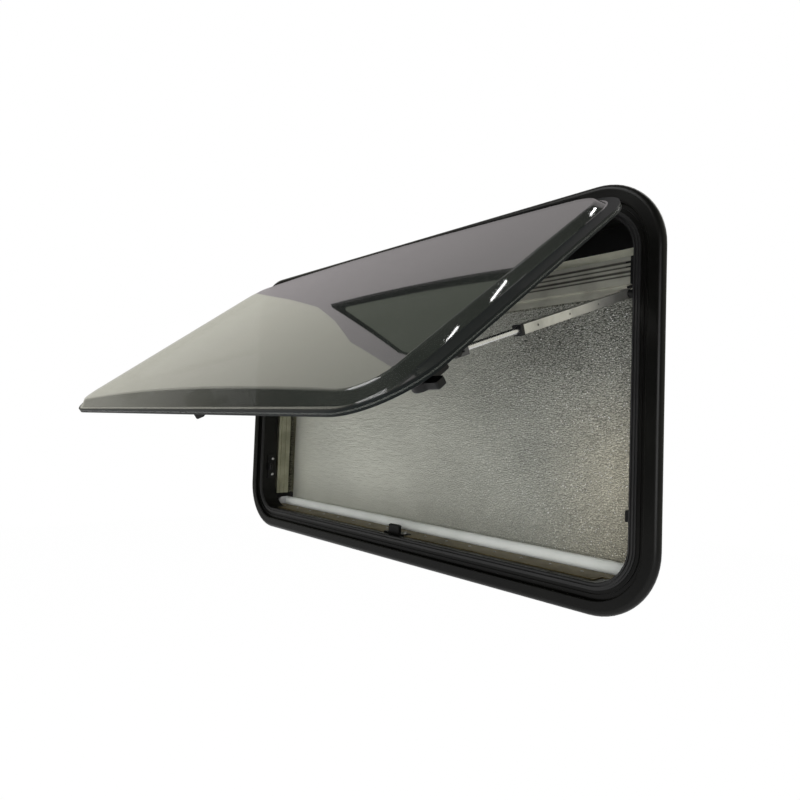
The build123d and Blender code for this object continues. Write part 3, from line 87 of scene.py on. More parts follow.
def tone(red: int, green: int, blue: int) -> Colour:
    """Turns screen values into scene-linear ones.

    Args:
        red: Red from 0 to 255.
        green: Green from 0 to 255.
        blue: Blue from 0 to 255.

    Returns:
        The linear colour.
    """

    def linear(level: int) -> float:
        """Linear value of one screen level."""
        share = level / 255
        return share / 12.92 if share <= 0.04045 else ((share + 0.055) / 1.055) ** 2.4

    return linear(red), linear(green), linear(blue)


def grey(level: int) -> Colour:
    """Neutral colour of one screen level."""
    return tone(level, level, level)


class Side(Enum):
    """Hand of a piece, seen from outside."""

    LEFT = -1
    RIGHT = 1

    @property
    def word(self) -> str:
        """Word used in node names."""
        return self.name.lower()


class Cells(Enum):
    """Kinds of cell pattern."""

    CENTRES = "F1"
    EDGES = "DISTANCE_TO_EDGE"


def math_node(operation: str, flipped: bool = False) -> Callable[..., Signal]:
    """Makes a method of Signal.

    Args:
        operation: Operation of the Math node that it adds.
        flipped: Puts the signal itself last.

    Returns:
        The method, from the other operands to the result.
    """

    def method(self: Signal, *others: Signal | float) -> Signal:
        """Adds the Math node."""
        operands = (*others, self) if flipped else (self, *others)
        node = self.graph.node("ShaderNodeMath", dict(enumerate(operands)), operation=operation)
        return Signal(self.graph, node.outputs[0])

    return method


class Signal:
    """Output of a node that takes part in arithmetic, where each operation adds a Math node."""

    def __init__(self, graph: Graph, socket: NodeSocket) -> None:
        """Wraps one socket of a graph."""
        self.graph = graph
        self.socket = socket

    __add__ = __radd__ = math_node("ADD")
    __sub__ = math_node("SUBTRACT")
    __rsub__ = math_node("SUBTRACT", flipped=True)
    __mul__ = __rmul__ = math_node("MULTIPLY")
    __truediv__ = math_node("DIVIDE")
    __pow__ = math_node("POWER")
    __abs__ = math_node("ABSOLUTE")
    fraction = math_node("FRACT")
    at_most = math_node("MINIMUM")
    at_least = math_node("MAXIMUM")

    def step(self, start: float, end: float) -> Signal:
        """Smooth climb from 0 to 1.

        Args:
            start: Value where the climb starts.
            end: Value where it ends, which may lie below the start.

        Returns:
            The climb.
        """
        inputs = {"Value": self, "From Min": start, "From Max": end, "To Min": 0.0, "To Max": 1.0}
        node = self.graph.node("ShaderNodeMapRange", inputs, interpolation_type="SMOOTHSTEP")
        return Signal(self.graph, node.outputs[0])


class Graph:
    """Adds nodes to one tree, of a material, the world or a geometry group."""

    def __init__(self, tree: NodeTree) -> None:
        """Starts on an emptied tree."""
        self.tree = tree
        tree.nodes.clear()

    def node(
        self, kind: str, inputs: Mapping[str | int, object] = NOTHING, **settings: object
    ) -> Node:
        """Adds a node.

        Args:
            kind: Blender's name of the node type.
            inputs: Values or links of its sockets, by name or number.
            settings: Settings, which are set first.

        Returns:
            The node.
        """
        made = self.tree.nodes.new(kind)
        for name, value in settings.items():
            setattr(made, name, value)
        for key, value in inputs.items():
            self.feed(made.inputs[key], value)
        return made

    def feed(self, socket: NodeSocket, value: object) -> None:
        """Links or sets one input socket.

        Args:
            socket: The input.
            value: A signal, a socket, a node for its first output, or a plain value.
        """
        if isinstance(value, Signal):
            value = value.socket
        elif isinstance(value, Node):
            value = value.outputs[0]
        if isinstance(value, NodeSocket):
            self.tree.links.new(value, socket)
        elif socket.type == "RGBA" and len(value) == 3:
            socket.default_value = (*value, 1.0)
        else:
            socket.default_value = value


class Surface(Graph):
    """One procedural material around a Principled shader."""

    def __init__(self, name: str) -> None:
        """Starts a material of that name."""
        self.material = bpy.data.materials.new(name)
        self.material.use_nodes = True
        super().__init__(self.material.node_tree)
        self.shader = self.node("ShaderNodeBsdfPrincipled")
        self.end = self.node("ShaderNodeOutputMaterial", {"Surface": self.shader})
        self.place = self.node("ShaderNodeTexCoord").outputs["Object"]

    def axis(self, number: int) -> Signal:
        """One object coordinate, 0 for X, 1 for Y and 2 for Z."""
        node = self.node("ShaderNodeSeparateXYZ", {0: self.place})
        return Signal(self, node.outputs[number])

    def _texture(
        self,
        kind: str,
        size: float,
        turned: Turned,
        inputs: Mapping[str, float] = NOTHING,
        **settings: str,
    ) -> Node:
        """Adds a texture node on object coordinates with their own scale and rotation."""
        placing = {"Vector": self.place, "Scale": turned[0], "Rotation": turned[1]}
        place = self.node("ShaderNodeMapping", placing)
        return self.node(kind, {"Vector": place, "Scale": 1 / size, **inputs}, **settings)

    def noise(
        self,
        size: float,
        detail: float = 3.0,
        stretch: Sequence[float] = (1, 1, 1),
        turn: Sequence[float] = (0, 0, 0),
    ) -> Signal:
        """Cloudy noise.

        Args:
            size: Size of its features in metres.
            detail: Octaves.
            stretch: Scale along each axis on top of the size.
            turn: Rotation in radians.

        Returns:
            Noise from about 0.2 to 0.8.
        """
        made = self._texture("ShaderNodeTexNoise", size, (stretch, turn), {"Detail": detail})
        return Signal(self, made.outputs[0])

    def cells(
        self,
        size: float,
        kind: Cells,
        stretch: Sequence[float] = (1, 1, 1),
        turn: Sequence[float] = (0, 0, 0),
    ) -> Signal:
        """Cell pattern.

        Args:
            size: Size of a cell in metres.
            kind: Distance to centres or to edges.
            stretch: Scale along each axis on top of the size.
            turn: Rotation in radians.

        Returns:
            The distance, in cells.
        """
        made = self._texture("ShaderNodeTexVoronoi", size, (stretch, turn), feature=kind.value)
        return Signal(self, made.outputs["Distance"])

    def mix(self, share: Signal, low: object, high: object) -> NodeSocket:
        """Colour between two others.

        Args:
            share: 0 for the first colour and 1 for the second.
            low: First colour or its socket.
            high: Second colour or its socket.

        Returns:
            The mixed colour's socket.
        """
        node = self.node("ShaderNodeMix", {0: share, 6: low, 7: high}, data_type="RGBA")
        return node.outputs[2]

    def bump(self, height: Signal, depth: float, strength: float = 1.0) -> None:
        """Feeds a Bump node into the shader's Normal.

        Args:
            height: Height from 0 to 1.
            depth: Height of 1 in metres.
            strength: Strength of the bump.
        """
        inputs = {"Strength": strength, "Distance": depth, "Height": height}
        self.feed(self.shader.inputs["Normal"], self.node("ShaderNodeBump", inputs))

    def dress(self, **values: object) -> None:
        """Sets the shader's sockets, with underscores for the spaces in their names."""
        for name, value in values.items():
            self.feed(self.shader.inputs[name.replace("_", " ")], value)


@dataclass(frozen=True)
class Finish:
    """Look of a material."""

    name: str
    colour: Colour

    def material(self) -> Material:
        """Builds the material."""
        surface = Surface(self.name)
        self.paint(surface)
        return surface.material

    def paint(self, surface: Surface) -> None:
        """Gives the surface its look."""
        raise NotImplementedError


@dataclass(frozen=True)
class Moulding(Finish):
    """Moulded plastic or rubber with a fine eroded grain."""

    worn: Colour
    roughness: float
    grain: float
    relief: float
    specular: float = 0.5

    def paint(self, surface: Surface) -> None:
        """Gives the surface its look."""
        haze = surface.noise(0.09, 4.0)
        grain = surface.noise(self.grain, 2.0)
        pits = surface.cells(self.grain * 1.6, Cells.CENTRES)
        surface.dress(
            Base_Color=surface.mix(haze.step(0.38, 0.72), self.colour, self.worn),
            Roughness=self.roughness - 0.08 + 0.16 * haze + 0.05 * grain,
            Specular_IOR_Level=self.specular,
        )
        surface.bump(grain * 0.6 + pits * 0.4, self.relief)


@dataclass(frozen=True)
class RoundedOutline:
    """Rounded rectangle on the pane, placed by its distance down from the hinge."""

    half_width: float
    middle: float
    half_length: float
    radius: float

    def corner_distance(self, side: Signal, down: Signal) -> Signal:
        """Distance beyond the corner centres.

        Args:
            side: Distance from the middle of the pane.
            down: Distance down from the hinge.

        Returns:
            The distance, which equals the radius on the outline.
        """
        across = (side - (self.half_width - self.radius)).at_least(0.0)
        along = (abs(down - self.middle) - (self.half_length - self.radius)).at_least(0.0)
        return (across * across + along * along) ** 0.5


DOME_FOOT = RoundedOutline(0.433, 0.24725, 0.22875, 0.052)
PANE_EDGE = RoundedOutline(0.454, 0.24475, 0.23525, 0.078)


@dataclass(frozen=True)
class Acrylic(Finish):
    """Smoke-tinted cast acrylic, see-through, with faint wipe marks."""

    cover: float
    roughness: float
    coat: float = 1.0
    margin: bool = False
    print_cover: float = 0.97

    @staticmethod
    def _printed(surface: Surface) -> Signal:
        """1 on the black print of the side rims and the outermost edge, 0 elsewhere."""
        back = (surface.axis(1) - HINGE_Y) * -math.sin(OPEN_ANGLE)
        down = back + (surface.axis(2) - HINGE_Z) * -math.cos(OPEN_ANGLE)
        side = abs(surface.axis(0))
        rim = DOME_FOOT.corner_distance(side, down).step(0.0515, 0.0525) * down.step(0.46, 0.40)
        edge = PANE_EDGE.corner_distance(side, down).step(0.0750, 0.0756)
        return rim.at_least(edge)

    def paint(self, surface: Surface) -> None:
        """Gives the surface its look."""
        wipes = surface.noise(0.05, 3.0, (1.0, 0.25, 0.25), (0.0, 0.0, 0.5))
        dust = surface.noise(0.3, 2.0)
        dusty = tuple(level * 1.5 for level in self.colour)
        surface.dress(
            Base_Color=surface.mix(dust.step(0.35, 0.7), self.colour, dusty),
            Roughness=self.roughness + 0.05 * wipes,
            Alpha=self.cover - 0.02 + 0.04 * dust,
            IOR=1.49,
            Coat_Weight=self.coat,
            Coat_Roughness=self.roughness,
        )
        if self.margin:
            paint = {"Base Color": tone(17, 20, 20), "Roughness": 0.45, "Specular IOR Level": 0.05}
            printed = surface.node("ShaderNodeBsdfPrincipled", paint)
            share = self._printed(surface) * self.print_cover
            mixed = surface.node("ShaderNodeMixShader", {0: share, 1: surface.shader, 2: printed})
            surface.feed(surface.end.inputs["Surface"], mixed)


@dataclass(frozen=True)
class DrawnMetal(Finish):
    """Extruded, drawn or plated metal with fine lines along its length.

    Each groove has the height of its middle and half the width of its band of painted shade.
    """

    dull: Colour
    roughness: float
    stretch: tuple[float, float, float]
    relief: float = 0.00002
    metallic: float = 1.0
    grooves: tuple[tuple[float, float], ...] = ()
    groove_blur: float = 0.0008

    def paint(self, surface: Surface) -> None:
        """Gives the surface its look."""
        lines = surface.noise(0.0006, 3.0, self.stretch)
        cloud = surface.noise(0.03, 4.0)
        paint = surface.mix(cloud.step(0.35, 0.7) * 0.6 + lines * 0.4, self.colour, self.dull)
        # Painted shade: each groove gets a dark band along it.
        for middle, reach in self.grooves:
            off_middle = abs(surface.axis(2) - middle)
            groove_shade = off_middle.step(reach + self.groove_blur, reach - self.groove_blur)
            paint = surface.mix(groove_shade * 0.8, paint, grey(14))
        surface.dress(
            Base_Color=paint,
            Metallic=self.metallic,
            Roughness=self.roughness - 0.06 + 0.12 * lines + 0.08 * cloud,
        )
        surface.bump(lines, self.relief)


@dataclass(frozen=True)
class Foil(Finish):
    """Aluminised blind cloth, crinkled in small diagonal cells, smoother towards the left.

    It has painted highlights where it is crinkled, painted shade along its creases and towards its right,
    most at its upper right, and a painted yellowish light at its lower right.
    """

    dark: Colour
    glow: Colour

    def paint(self, surface: Surface) -> None:
        """Gives the surface its look."""
        right = surface.axis(0).step(-0.25, 0.30)
        turn = (0.0, math.radians(-28), 0.0)
        creases = surface.cells(0.0042, Cells.EDGES, (0.7, 1.0, 1.35), turn)
        fine = surface.cells(0.0022, Cells.EDGES, (0.8, 1.0, 1.2), turn)
        rolled = surface.noise(0.0035, 3.0, (0.15, 1.0, 1.0))
        mottle = surface.noise(0.0019, 3.0, (0.8, 1.0, 1.3), turn).step(0.40, 0.62)
        cloud = surface.noise(0.12, 4.0)
        speck = surface.noise(0.0016, 1.0)
        crease = creases.at_most(0.22) * 3.2
        height = crease * (0.25 + 0.75 * right) + fine.at_most(0.25) * 1.1 + rolled * (1.25 - right)
        # Painted shade along the creases, joined by a darker mottle; both are stronger towards the right
        # and at the upper right.
        fold_shade = 1.0 - creases.step(0.0, 0.09)
        # Painted shade: darker towards the upper right.
        upper_right_shade = right * surface.axis(2).step(-0.16, 0.14)
        # Painted light: a lighter, yellowish patch at the lower right.
        warm_light_patch = surface.axis(0).step(0.22, 0.40) * surface.axis(2).step(0.08, -0.10)
        crease_shade_and_mottle = (fold_shade * 0.30 + mottle * 0.35) * right * (0.65 + 0.35 * upper_right_shade)
        # Painted shade also darkens the foil towards the right.
        shade_and_mottle = crease_shade_and_mottle + 0.24 * right + upper_right_shade * 0.20
        shade = shade_and_mottle + cloud.step(0.3, 0.75) * 0.12 + speck * 0.1 - warm_light_patch * 0.06
        # Painted highlights: small bright specks, towards the right where the foil is crinkled.
        painted_glints = surface.cells(0.0050, Cells.CENTRES).step(0.19, 0.09) * right
        silver = surface.mix(shade, surface.mix(warm_light_patch, self.colour, self.glow), self.dark)
        surface.dress(
            Base_Color=surface.mix(painted_glints * 0.9, silver, grey(250)),
            Metallic=0.55,
            Roughness=0.44 - 0.17 * right + 0.12 * speck,
        )
        surface.bump(height, 0.0008, 0.9)


@dataclass(frozen=True)
class Netting(Finish):
    """Fine black insect net, open between its threads."""

    pitch: float
    thread: float

    def paint(self, surface: Surface) -> None:
        """Gives the surface its look."""
        edge = self.thread / self.pitch
        across = surface.axis(0) / self.pitch
        down = surface.axis(2) / self.pitch
        gap = across.fraction().step(edge, edge * 1.3) * down.fraction().step(edge, edge * 1.3)
        surface.dress(Base_Color=self.colour, Roughness=0.6, Alpha=1.0 - gap)


@dataclass(frozen=True)
class Pile(Finish):
    """Nylon brush pile, darker at its root."""

    tip: Colour
    root_y: float
    tip_y: float

    def paint(self, surface: Surface) -> None:
        """Gives the surface its look."""
        climb = surface.axis(1).step(self.root_y, self.tip_y)
        tuft = surface.noise(0.002, 2.0)
        surface.dress(
            Base_Color=surface.mix(climb * 0.7 + tuft * 0.3, self.colour, self.tip),
            Roughness=0.7 + 0.1 * tuft,
            Specular_IOR_Level=0.15,
        )


FRAME_BLACK = Moulding(
    "frame_black_plastic", tone(6, 6, 5), tone(10, 10, 8), 0.30, 0.0008, 0.00003, 0.16
)
RUBBER_BLACK = Moulding("gasket_rubber", grey(10), grey(18), 0.46, 0.0012, 0.00005)
FOAM_GREY = Moulding("foam_seal", grey(66), grey(84), 0.85, 0.0015, 0.00030)
HINGE_BLACK = Moulding("hinge_extrusion_black", grey(6), grey(11), 0.36, 0.0010, 0.00003, 0.22)
FITTING_BLACK = Moulding("fitting_black_nylon", grey(11), grey(18), 0.40, 0.0007, 0.00004, 0.20)
ROLLER_WHITE = Moulding("roller_enamel", tone(238, 241, 236), tone(224, 228, 221), 0.30, 0.0015, 0.00002)
CHEEK_WHITE = Moulding("cheek_nylon", grey(206), grey(190), 0.42, 0.0008, 0.00003)
OUTER_ACRYLIC = Acrylic("smoked_acrylic_outer", tone(30, 33, 30), 0.67, 0.01, margin=True)
INNER_ACRYLIC = Acrylic("smoked_acrylic_inner", tone(30, 33, 30), 0.64, 0.02, margin=True)
BOND = Acrylic("bonded_edge", tone(60, 64, 60), 0.45, 0.20, 0.0)
BRIGHT_METAL = DrawnMetal("plated_steel", grey(205), grey(170), 0.24, (1, 1, 1))
STAY_METAL = DrawnMetal(
    "stay_sleeve_metal", tone(204, 203, 197), tone(156, 156, 151), 0.34, (1, 1, 0.06), metallic=0.85
)
ROD_METAL = DrawnMetal("stay_rod_metal", grey(222), grey(190), 0.22, (1, 1, 0.06))
ROD_END_METAL = DrawnMetal("rod_end_metal", grey(84), grey(60), 0.5, (1, 1, 1), metallic=0.5)
RAIL_METAL = DrawnMetal(
    "mill_aluminium_upright", tone(158, 157, 140), tone(124, 123, 108), 0.38, (1, 1, 0.03)
)
BAR_METAL = DrawnMetal(
    "mill_aluminium_level",
    tone(180, 180, 168),
    tone(148, 147, 137),
    0.42,
    (0.03, 1, 1),
    metallic=0.5,
    # Middles and half widths of the bands of painted shade in the bar's grooves.
    grooves=((0.1837, 0.0017), (0.1775, 0.0012), (0.171, 0.0017), (0.1656, 0.0012)),
)
FLY_BAR_METAL = DrawnMetal(
    "rough_aluminium_level", tone(250, 250, 230), tone(228, 228, 206), 0.55, (1, 1, 1), 0.00006, 0.1
)
SILL_BRONZE = DrawnMetal(
    "bronzed_sill", tone(122, 108, 74), tone(86, 76, 50), 0.45, (0.04, 1, 1), metallic=0.7
)
# Its last colour is that of the painted light at the lower right.
BLIND_FOIL = Foil("crinkled_foil", tone(228, 229, 217), tone(72, 73, 68), tone(240, 234, 212))
INSECT_NET = Netting("insect_net", grey(18), 0.0014, 0.0003)
BRUSH_PILE = Pile("brush_pile", grey(2), grey(7), 0.0576, 0.0718)


class Paintbox:
    """Builds each finish once and gives it to pieces."""

    def __init__(self) -> None:
        """Starts with no material made."""
        self._made: dict[str, Material] = {}

    def material(self, finish: Finish) -> Material:
        """Material of a finish, made at its first use."""
        if finish.name not in self._made:
            self._made[finish.name] = finish.material()
        return self._made[finish.name]

    def dress_nodes(self, finish: Finish, *names: str) -> None:
        """Gives the named CAD nodes a finish."""
        for name in names:
            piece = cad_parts[name]
            if not piece.material_slots:
                piece.data.materials.append(None)
            for slot in piece.material_slots:
                slot.material = self.material(finish)
        LOG.info("%s: %s", finish.name, ", ".join(names))

    def finish_piece(
        self, piece: Object, finish: Finish, slot: str, node: str, body: str | None = None
    ) -> None:
        """Gives a new piece its finish and body, and hides the CAD node that it stands for.

        Args:
            piece: The piece, at the origin.
            finish: Its finish.
            slot: Not used.
            node: CAD node that it stands for.
            body: CAD body that it rides on, if it is one alone.
        """
        piece.data.materials.clear()
        piece.data.materials.append(self.material(finish))
        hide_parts(node)
        if body:
            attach(piece, body)
        LOG.info("%s: %d faces on %s", piece.name, len(piece.data.polygons), body or "two bodies")


def new_object(name: str, mesh: Mesh) -> Object:
    """Puts a mesh into the scene at the origin."""
    made = bpy.data.objects.new(name, mesh)
    bpy.context.scene.collection.objects.link(made)
    return made


def shaped(name: str, shape: BMesh, smooth: bool = True) -> Object:
    """Turns a bmesh into an object at the origin.

    Args:
        name: Name of the object and its mesh.
        shape: The bmesh, which is freed.
        smooth: Shades its faces smoothly.

    Returns:
        The object.
    """
    for face in shape.faces:
        face.smooth = smooth
    mesh = bpy.data.meshes.new(name)
    shape.to_mesh(mesh)
    shape.free()
    return new_object(name, mesh)


def applied(piece: Object) -> Mesh:
    """Mesh of a piece with its modifiers applied; the modifiers are removed."""
    bpy.context.view_layer.update()
    graph = bpy.context.evaluated_depsgraph_get()
    mesh = bpy.data.meshes.new_from_object(piece.evaluated_get(graph))
    piece.modifiers.clear()
    return mesh


def turned_profile(profile: Sequence[tuple[float, float]], segments: int) -> BMesh:
    """Closed turned shape round the Z axis.

    Args:
        profile: Radius and height of its points from the bottom pole to the top pole.
        segments: Faces round the axis.

    Returns:
        The bmesh.
    """
    shape = bmesh.new()
    rings = []
    turns = [2 * math.pi * step / segments for step in range(segments)]
    for radius, height in profile[1:-1]:
        places = [(radius * math.cos(turn), radius * math.sin(turn), height) for turn in turns]
        rings.append([shape.verts.new(place) for place in places])
    bottom = shape.verts.new((0, 0, profile[0][1]))
    top = shape.verts.new((0, 0, profile[-1][1]))
    for step in range(segments):
        after = (step + 1) % segments
        shape.faces.new((bottom, rings[0][after], rings[0][step]))
        shape.faces.new((top, rings[-1][step], rings[-1][after]))
        for low, high in zip(rings, rings[1:]):
            shape.faces.new((low[step], low[after], high[after], high[step]))
    return shape


def boxed(low: Sequence[float], high: Sequence[float]) -> BMesh:
    """Closed block between two corners, used as a cutter or a backing strip."""
    shape = bmesh.new()
    bmesh.ops.create_cube(shape, size=1.0)
    size = Vector(high) - Vector(low)
    place = Matrix.Translation((Vector(high) + Vector(low)) / 2) @ Matrix.Diagonal((*size, 1))
    bmesh.ops.transform(shape, matrix=place, verts=shape.verts)
    return shape


@dataclass(frozen=True)
class Seat:
    """Place of a fastener: the underside of its head, and the way that the head faces."""

    place: Vector
    facing: Vector


def islands(node: str) -> list[list[Vector]]:
    """Corner points of each separate solid of a CAD node."""
    shape = bmesh.new()
    shape.from_mesh(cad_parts[node].data)
    bmesh.ops.remove_doubles(shape, verts=shape.verts, dist=1e-6)
    found, seen = [], set()
    for start in shape.verts:
        if start in seen:
            continue
        group, edge = [], [start]
        seen.add(start)
        while edge:
            corner = edge.pop()
            group.append(corner.co.copy())
            for link in corner.link_edges:
                other = link.other_vert(corner)
                if other not in seen:
                    seen.add(other)
                    edge.append(other)
        found.append(group)
    shape.free()
    return found


def seats_of(node: str, head: float, facing: Callable[[Vector], Vector]) -> list[Seat]:
    """Reads the seats of a node's fasteners from its solids.

    Args:
        node: Name of the CAD node.
        head: Height of a head.
        facing: Gives the way a head faces from the middle of its solid.

    Returns:
        One seat for each fastener.
    """
    seats = []
    for group in islands(node):
        low = Vector([min(c[i] for c in group) for i in range(3)])
        high = Vector([max(c[i] for c in group) for i in range(3)])
        middle = (low + high) / 2
        way = facing(middle).normalized()
        along = [c.dot(way) for c in group]
        centre = sum((c - way * c.dot(way) for c in group), Vector()) / len(group)
        seats.append(Seat(centre + way * (max(along) - head), way))
    return seats


class GeometryTree(Graph):
    """Geometry nodes with named inputs, one of them the finish of the result."""

    def __init__(self, name: str, **inputs: str) -> None:
        """Makes the group.

        Args:
            name: Name of the group.
            inputs: Kind of each input by its name.
        """
        group = bpy.data.node_groups.new(name, "GeometryNodeTree")
        super().__init__(group)
        for label, kind in inputs.items():
            group.interface.new_socket(label, in_out="INPUT", socket_type=f"NodeSocket{kind}")
        group.interface.new_socket("Geometry", in_out="OUTPUT", socket_type="NodeSocketGeometry")
        self.given = self.node("NodeGroupInput").outputs

    def end(self, geometry: Node) -> None:
        """Paints the geometry of the last node and ends the tree."""
        inputs = {"Geometry": geometry, "Material": self.given["Finish"]}
        self.node("NodeGroupOutput", {0: self.node("GeometryNodeSetMaterial", inputs)})

    def run(self, piece: Object, **values: object) -> None:
        """Runs the tree on a piece and keeps its plain mesh.

        Args:
            piece: The piece, whose mesh is replaced by the result.
            values: Values of the named inputs.
        """
        modifier = piece.modifiers.new("tree", "NODES")
        modifier.node_group = self.tree
        for item in self.tree.interface.items_tree:
            if item.in_out == "INPUT" and item.name in values:
                modifier[item.identifier] = values[item.name]
        piece.data = applied(piece)


class Repeater(GeometryTree):
    """Puts one small piece on every point of a mesh, turned the way the point faces."""

    def __init__(self, name: str) -> None:
        """Builds the tree."""
        kinds = {"Points": "Geometry", "Piece": "Object", "Spin": "Float", "Seed": "Int"}
        super().__init__(name, **kinds, Finish="Material")
        given = self.given
        way = self.node("GeometryNodeInputNamedAttribute", {"Name": "facing"}, data_type="FLOAT_VECTOR")
        upright = self.node("FunctionNodeAlignRotationToVector", {"Vector": way}, axis="Z")
        limits = {"Max": given["Spin"], "Seed": given["Seed"]}
        chance = self.node("FunctionNodeRandomValue", limits, data_type="FLOAT")
        spin = self.node("ShaderNodeCombineXYZ", {"Z": chance.outputs["Value"]})
        turn = self.node("FunctionNodeEulerToRotation", {0: spin})
        turned = self.node("FunctionNodeRotateRotation", {0: upright, 1: turn}, rotation_space="LOCAL")
        source = self.node("GeometryNodeObjectInfo", {"Object": given["Piece"]})
        shape = source.outputs["Geometry"]
        copies = {"Points": given["Points"], "Instance": shape, "Rotation": turned}
        spread = self.node("GeometryNodeInstanceOnPoints", copies)
        self.end(self.node("GeometryNodeRealizeInstances", {"Geometry": spread}))

    def spread(
        self, name: str, seats: Sequence[Seat], piece: Object, finish: Material, seed: int
    ) -> Object:
        """Makes one mesh of all copies.

        Args:
            name: Name of the new object.
            seats: Where the copies go.
            piece: The small piece, its Z axis along the way it faces.
            finish: Material of the copies.
            seed: Seed of their chance turns about the facing axis.

        Returns:
            The object, at the origin.
        """
        points = bpy.data.meshes.new(name)
        points.from_pydata([seat.place for seat in seats], [], [])
        facing = points.attributes.new("facing", "FLOAT_VECTOR", "POINT")
        facing.data.foreach_set("vector", [value for seat in seats for value in seat.facing])
        made = new_object(name, points)
        self.run(made, Piece=piece, Spin=2 * math.pi, Seed=seed, Finish=finish)
        return made


@dataclass(frozen=True)
class Fastener:
    """Turned fastener whose head sits on the plane z = 0."""

    head_radius: float
    head_height: float
    shank_radius: float
    shank_length: float
    segments: int = 20
    crease_degrees: float = 32.0

    def profile(self) -> Sequence[tuple[float, float]]:
        """Radius and height of its points, from the tip to the top."""
        raise NotImplementedError

    def recess(self, made: Object) -> None:
        """Cuts what isn't turned, if it has any."""

    def piece(self, name: str) -> Object:
        """Builds one fastener at the origin, hidden from the render."""
        made = shaped(name, turned_profile(self.profile(), self.segments))
        self.recess(made)
        made.data.set_sharp_from_angle(angle=math.radians(self.crease_degrees))
        made.hide_render = True
        return made


@dataclass(frozen=True)
class CrossScrew(Fastener):
    """Pan-head screw with a cross recess."""

    def profile(self) -> Sequence[tuple[float, float]]:
        """Radius and height of its points, from the tip to the top."""
        rise, wide = self.head_height, self.head_radius
        return (
            (0, -self.shank_length), (self.shank_radius * 0.45, -self.shank_length),
            (self.shank_radius, -self.shank_length * 0.72), (self.shank_radius, 0),
            (wide, 0), (wide, rise * 0.30), (wide * 0.94, rise * 0.58), (wide * 0.78, rise * 0.82),
            (wide * 0.50, rise * 0.96), (wide * 0.20, rise), (0, rise),
        )

    def recess(self, made: Object) -> None:
        """Cuts the cross."""
        rise, wide = self.head_height, self.head_radius
        cutters = []
        for across, along in ((wide * 0.13, wide * 0.52), (wide * 0.52, wide * 0.13)):
            slot = boxed((-across, -along, rise * 0.35), (across, along, rise * 1.5))
            cutters.append(shaped(f"{made.name}_cutter", slot, False))
            cut = made.modifiers.new("recess", "BOOLEAN")
            cut.object = cutters[-1]
            cut.solver = "EXACT"
        made.data = applied(made)
        made.data.shade_smooth()
        for cutter in cutters:
            bpy.data.objects.remove(cutter)


@dataclass(frozen=True)
class PopRivet(Fastener):
    """Blind rivet: a low dome with the hole that its broken pin leaves."""

    segments: int = 18
    crease_degrees: float = 40.0

    def profile(self) -> Sequence[tuple[float, float]]:
        """Radius and height of its points, from the tip to the top."""
        rise, wide = self.head_height, self.head_radius
        return (
            (0, -self.shank_length), (self.shank_radius, -self.shank_length), (self.shank_radius, 0),
            (wide, 0), (wide, rise * 0.22), (wide * 0.86, rise * 0.62), (wide * 0.62, rise * 0.92),
            (wide * 0.44, rise), (wide * 0.36, rise * 0.94), (wide * 0.32, rise * 0.45),
            (wide * 0.12, rise * 0.40), (0, rise * 0.40),
        )


@dataclass
class Assembly:
    """Pieces that are built together."""

    paint: Paintbox

    def build(self) -> None:
        """Builds and dresses them."""
        raise NotImplementedError


@dataclass
class Fasteners(Assembly):
    """All screws and rivets, one mesh for each CAD node."""

    small: Fastener = CrossScrew(0.0030, 0.0018, 0.0015, 0.0045)
    clamp: Fastener = CrossScrew(0.0026, 0.0016, 0.0020, 0.0115)
    hinge: Fastener = PopRivet(0.0030, 0.0012, 0.0016, 0.0040)
    sill: Fastener = PopRivet(0.0022, 0.0009, 0.0012, 0.0040)
    block_half_width: float = 0.2

    def build(self) -> None:
        """Builds and dresses every set."""
        repeater = Repeater("fasteners_on_points")

        def jamb(middle: Vector) -> Vector:
            """Way that a screw in the opening's edge faces."""
            if abs(middle.x) < self.block_half_width:
                return Vector((0, 0, 1))
            return Vector((-math.copysign(1, middle.x), 0, 0))

        def always(*way: float) -> Callable[[Vector], Vector]:
            """Facing that is the same for every fastener of a set."""
            return lambda _: Vector(way)

        inwards = always(0, math.cos(OPEN_ANGLE), -math.sin(OPEN_ANGLE))
        sets = (
            ("latch_screws", "pane", self.small, inwards, 3),
            ("bracket_screws", "pane", self.small, inwards, 5),
            ("striker_screws", "frame", self.small, jamb, 7),
            ("anchor_screws", "frame", self.small, jamb, 9),
            ("clamp_screws", "frame", self.clamp, always(0, 1, 0), 11),
            ("hinge_rivets", "frame", self.hinge, always(0, -1, 0), 13),
            ("sill_rivets", "frame", self.sill, always(0, 0, 1), 15),
        )
        for node, body, kind, facing, seed in sets:
            black = node == "hinge_rivets"
            finish, slot = (HINGE_BLACK, "hinge_black") if black else (BRIGHT_METAL, "bright_metal")
            seats = seats_of(node, kind.head_height, facing)
            piece = kind.piece(f"{node}_source")
            metal = self.paint.material(finish)
            made = repeater.spread(f"{node}_detailed", seats, piece, metal, seed)
            bpy.data.objects.remove(piece)
            self.paint.finish_piece(made, finish, slot, node, body)


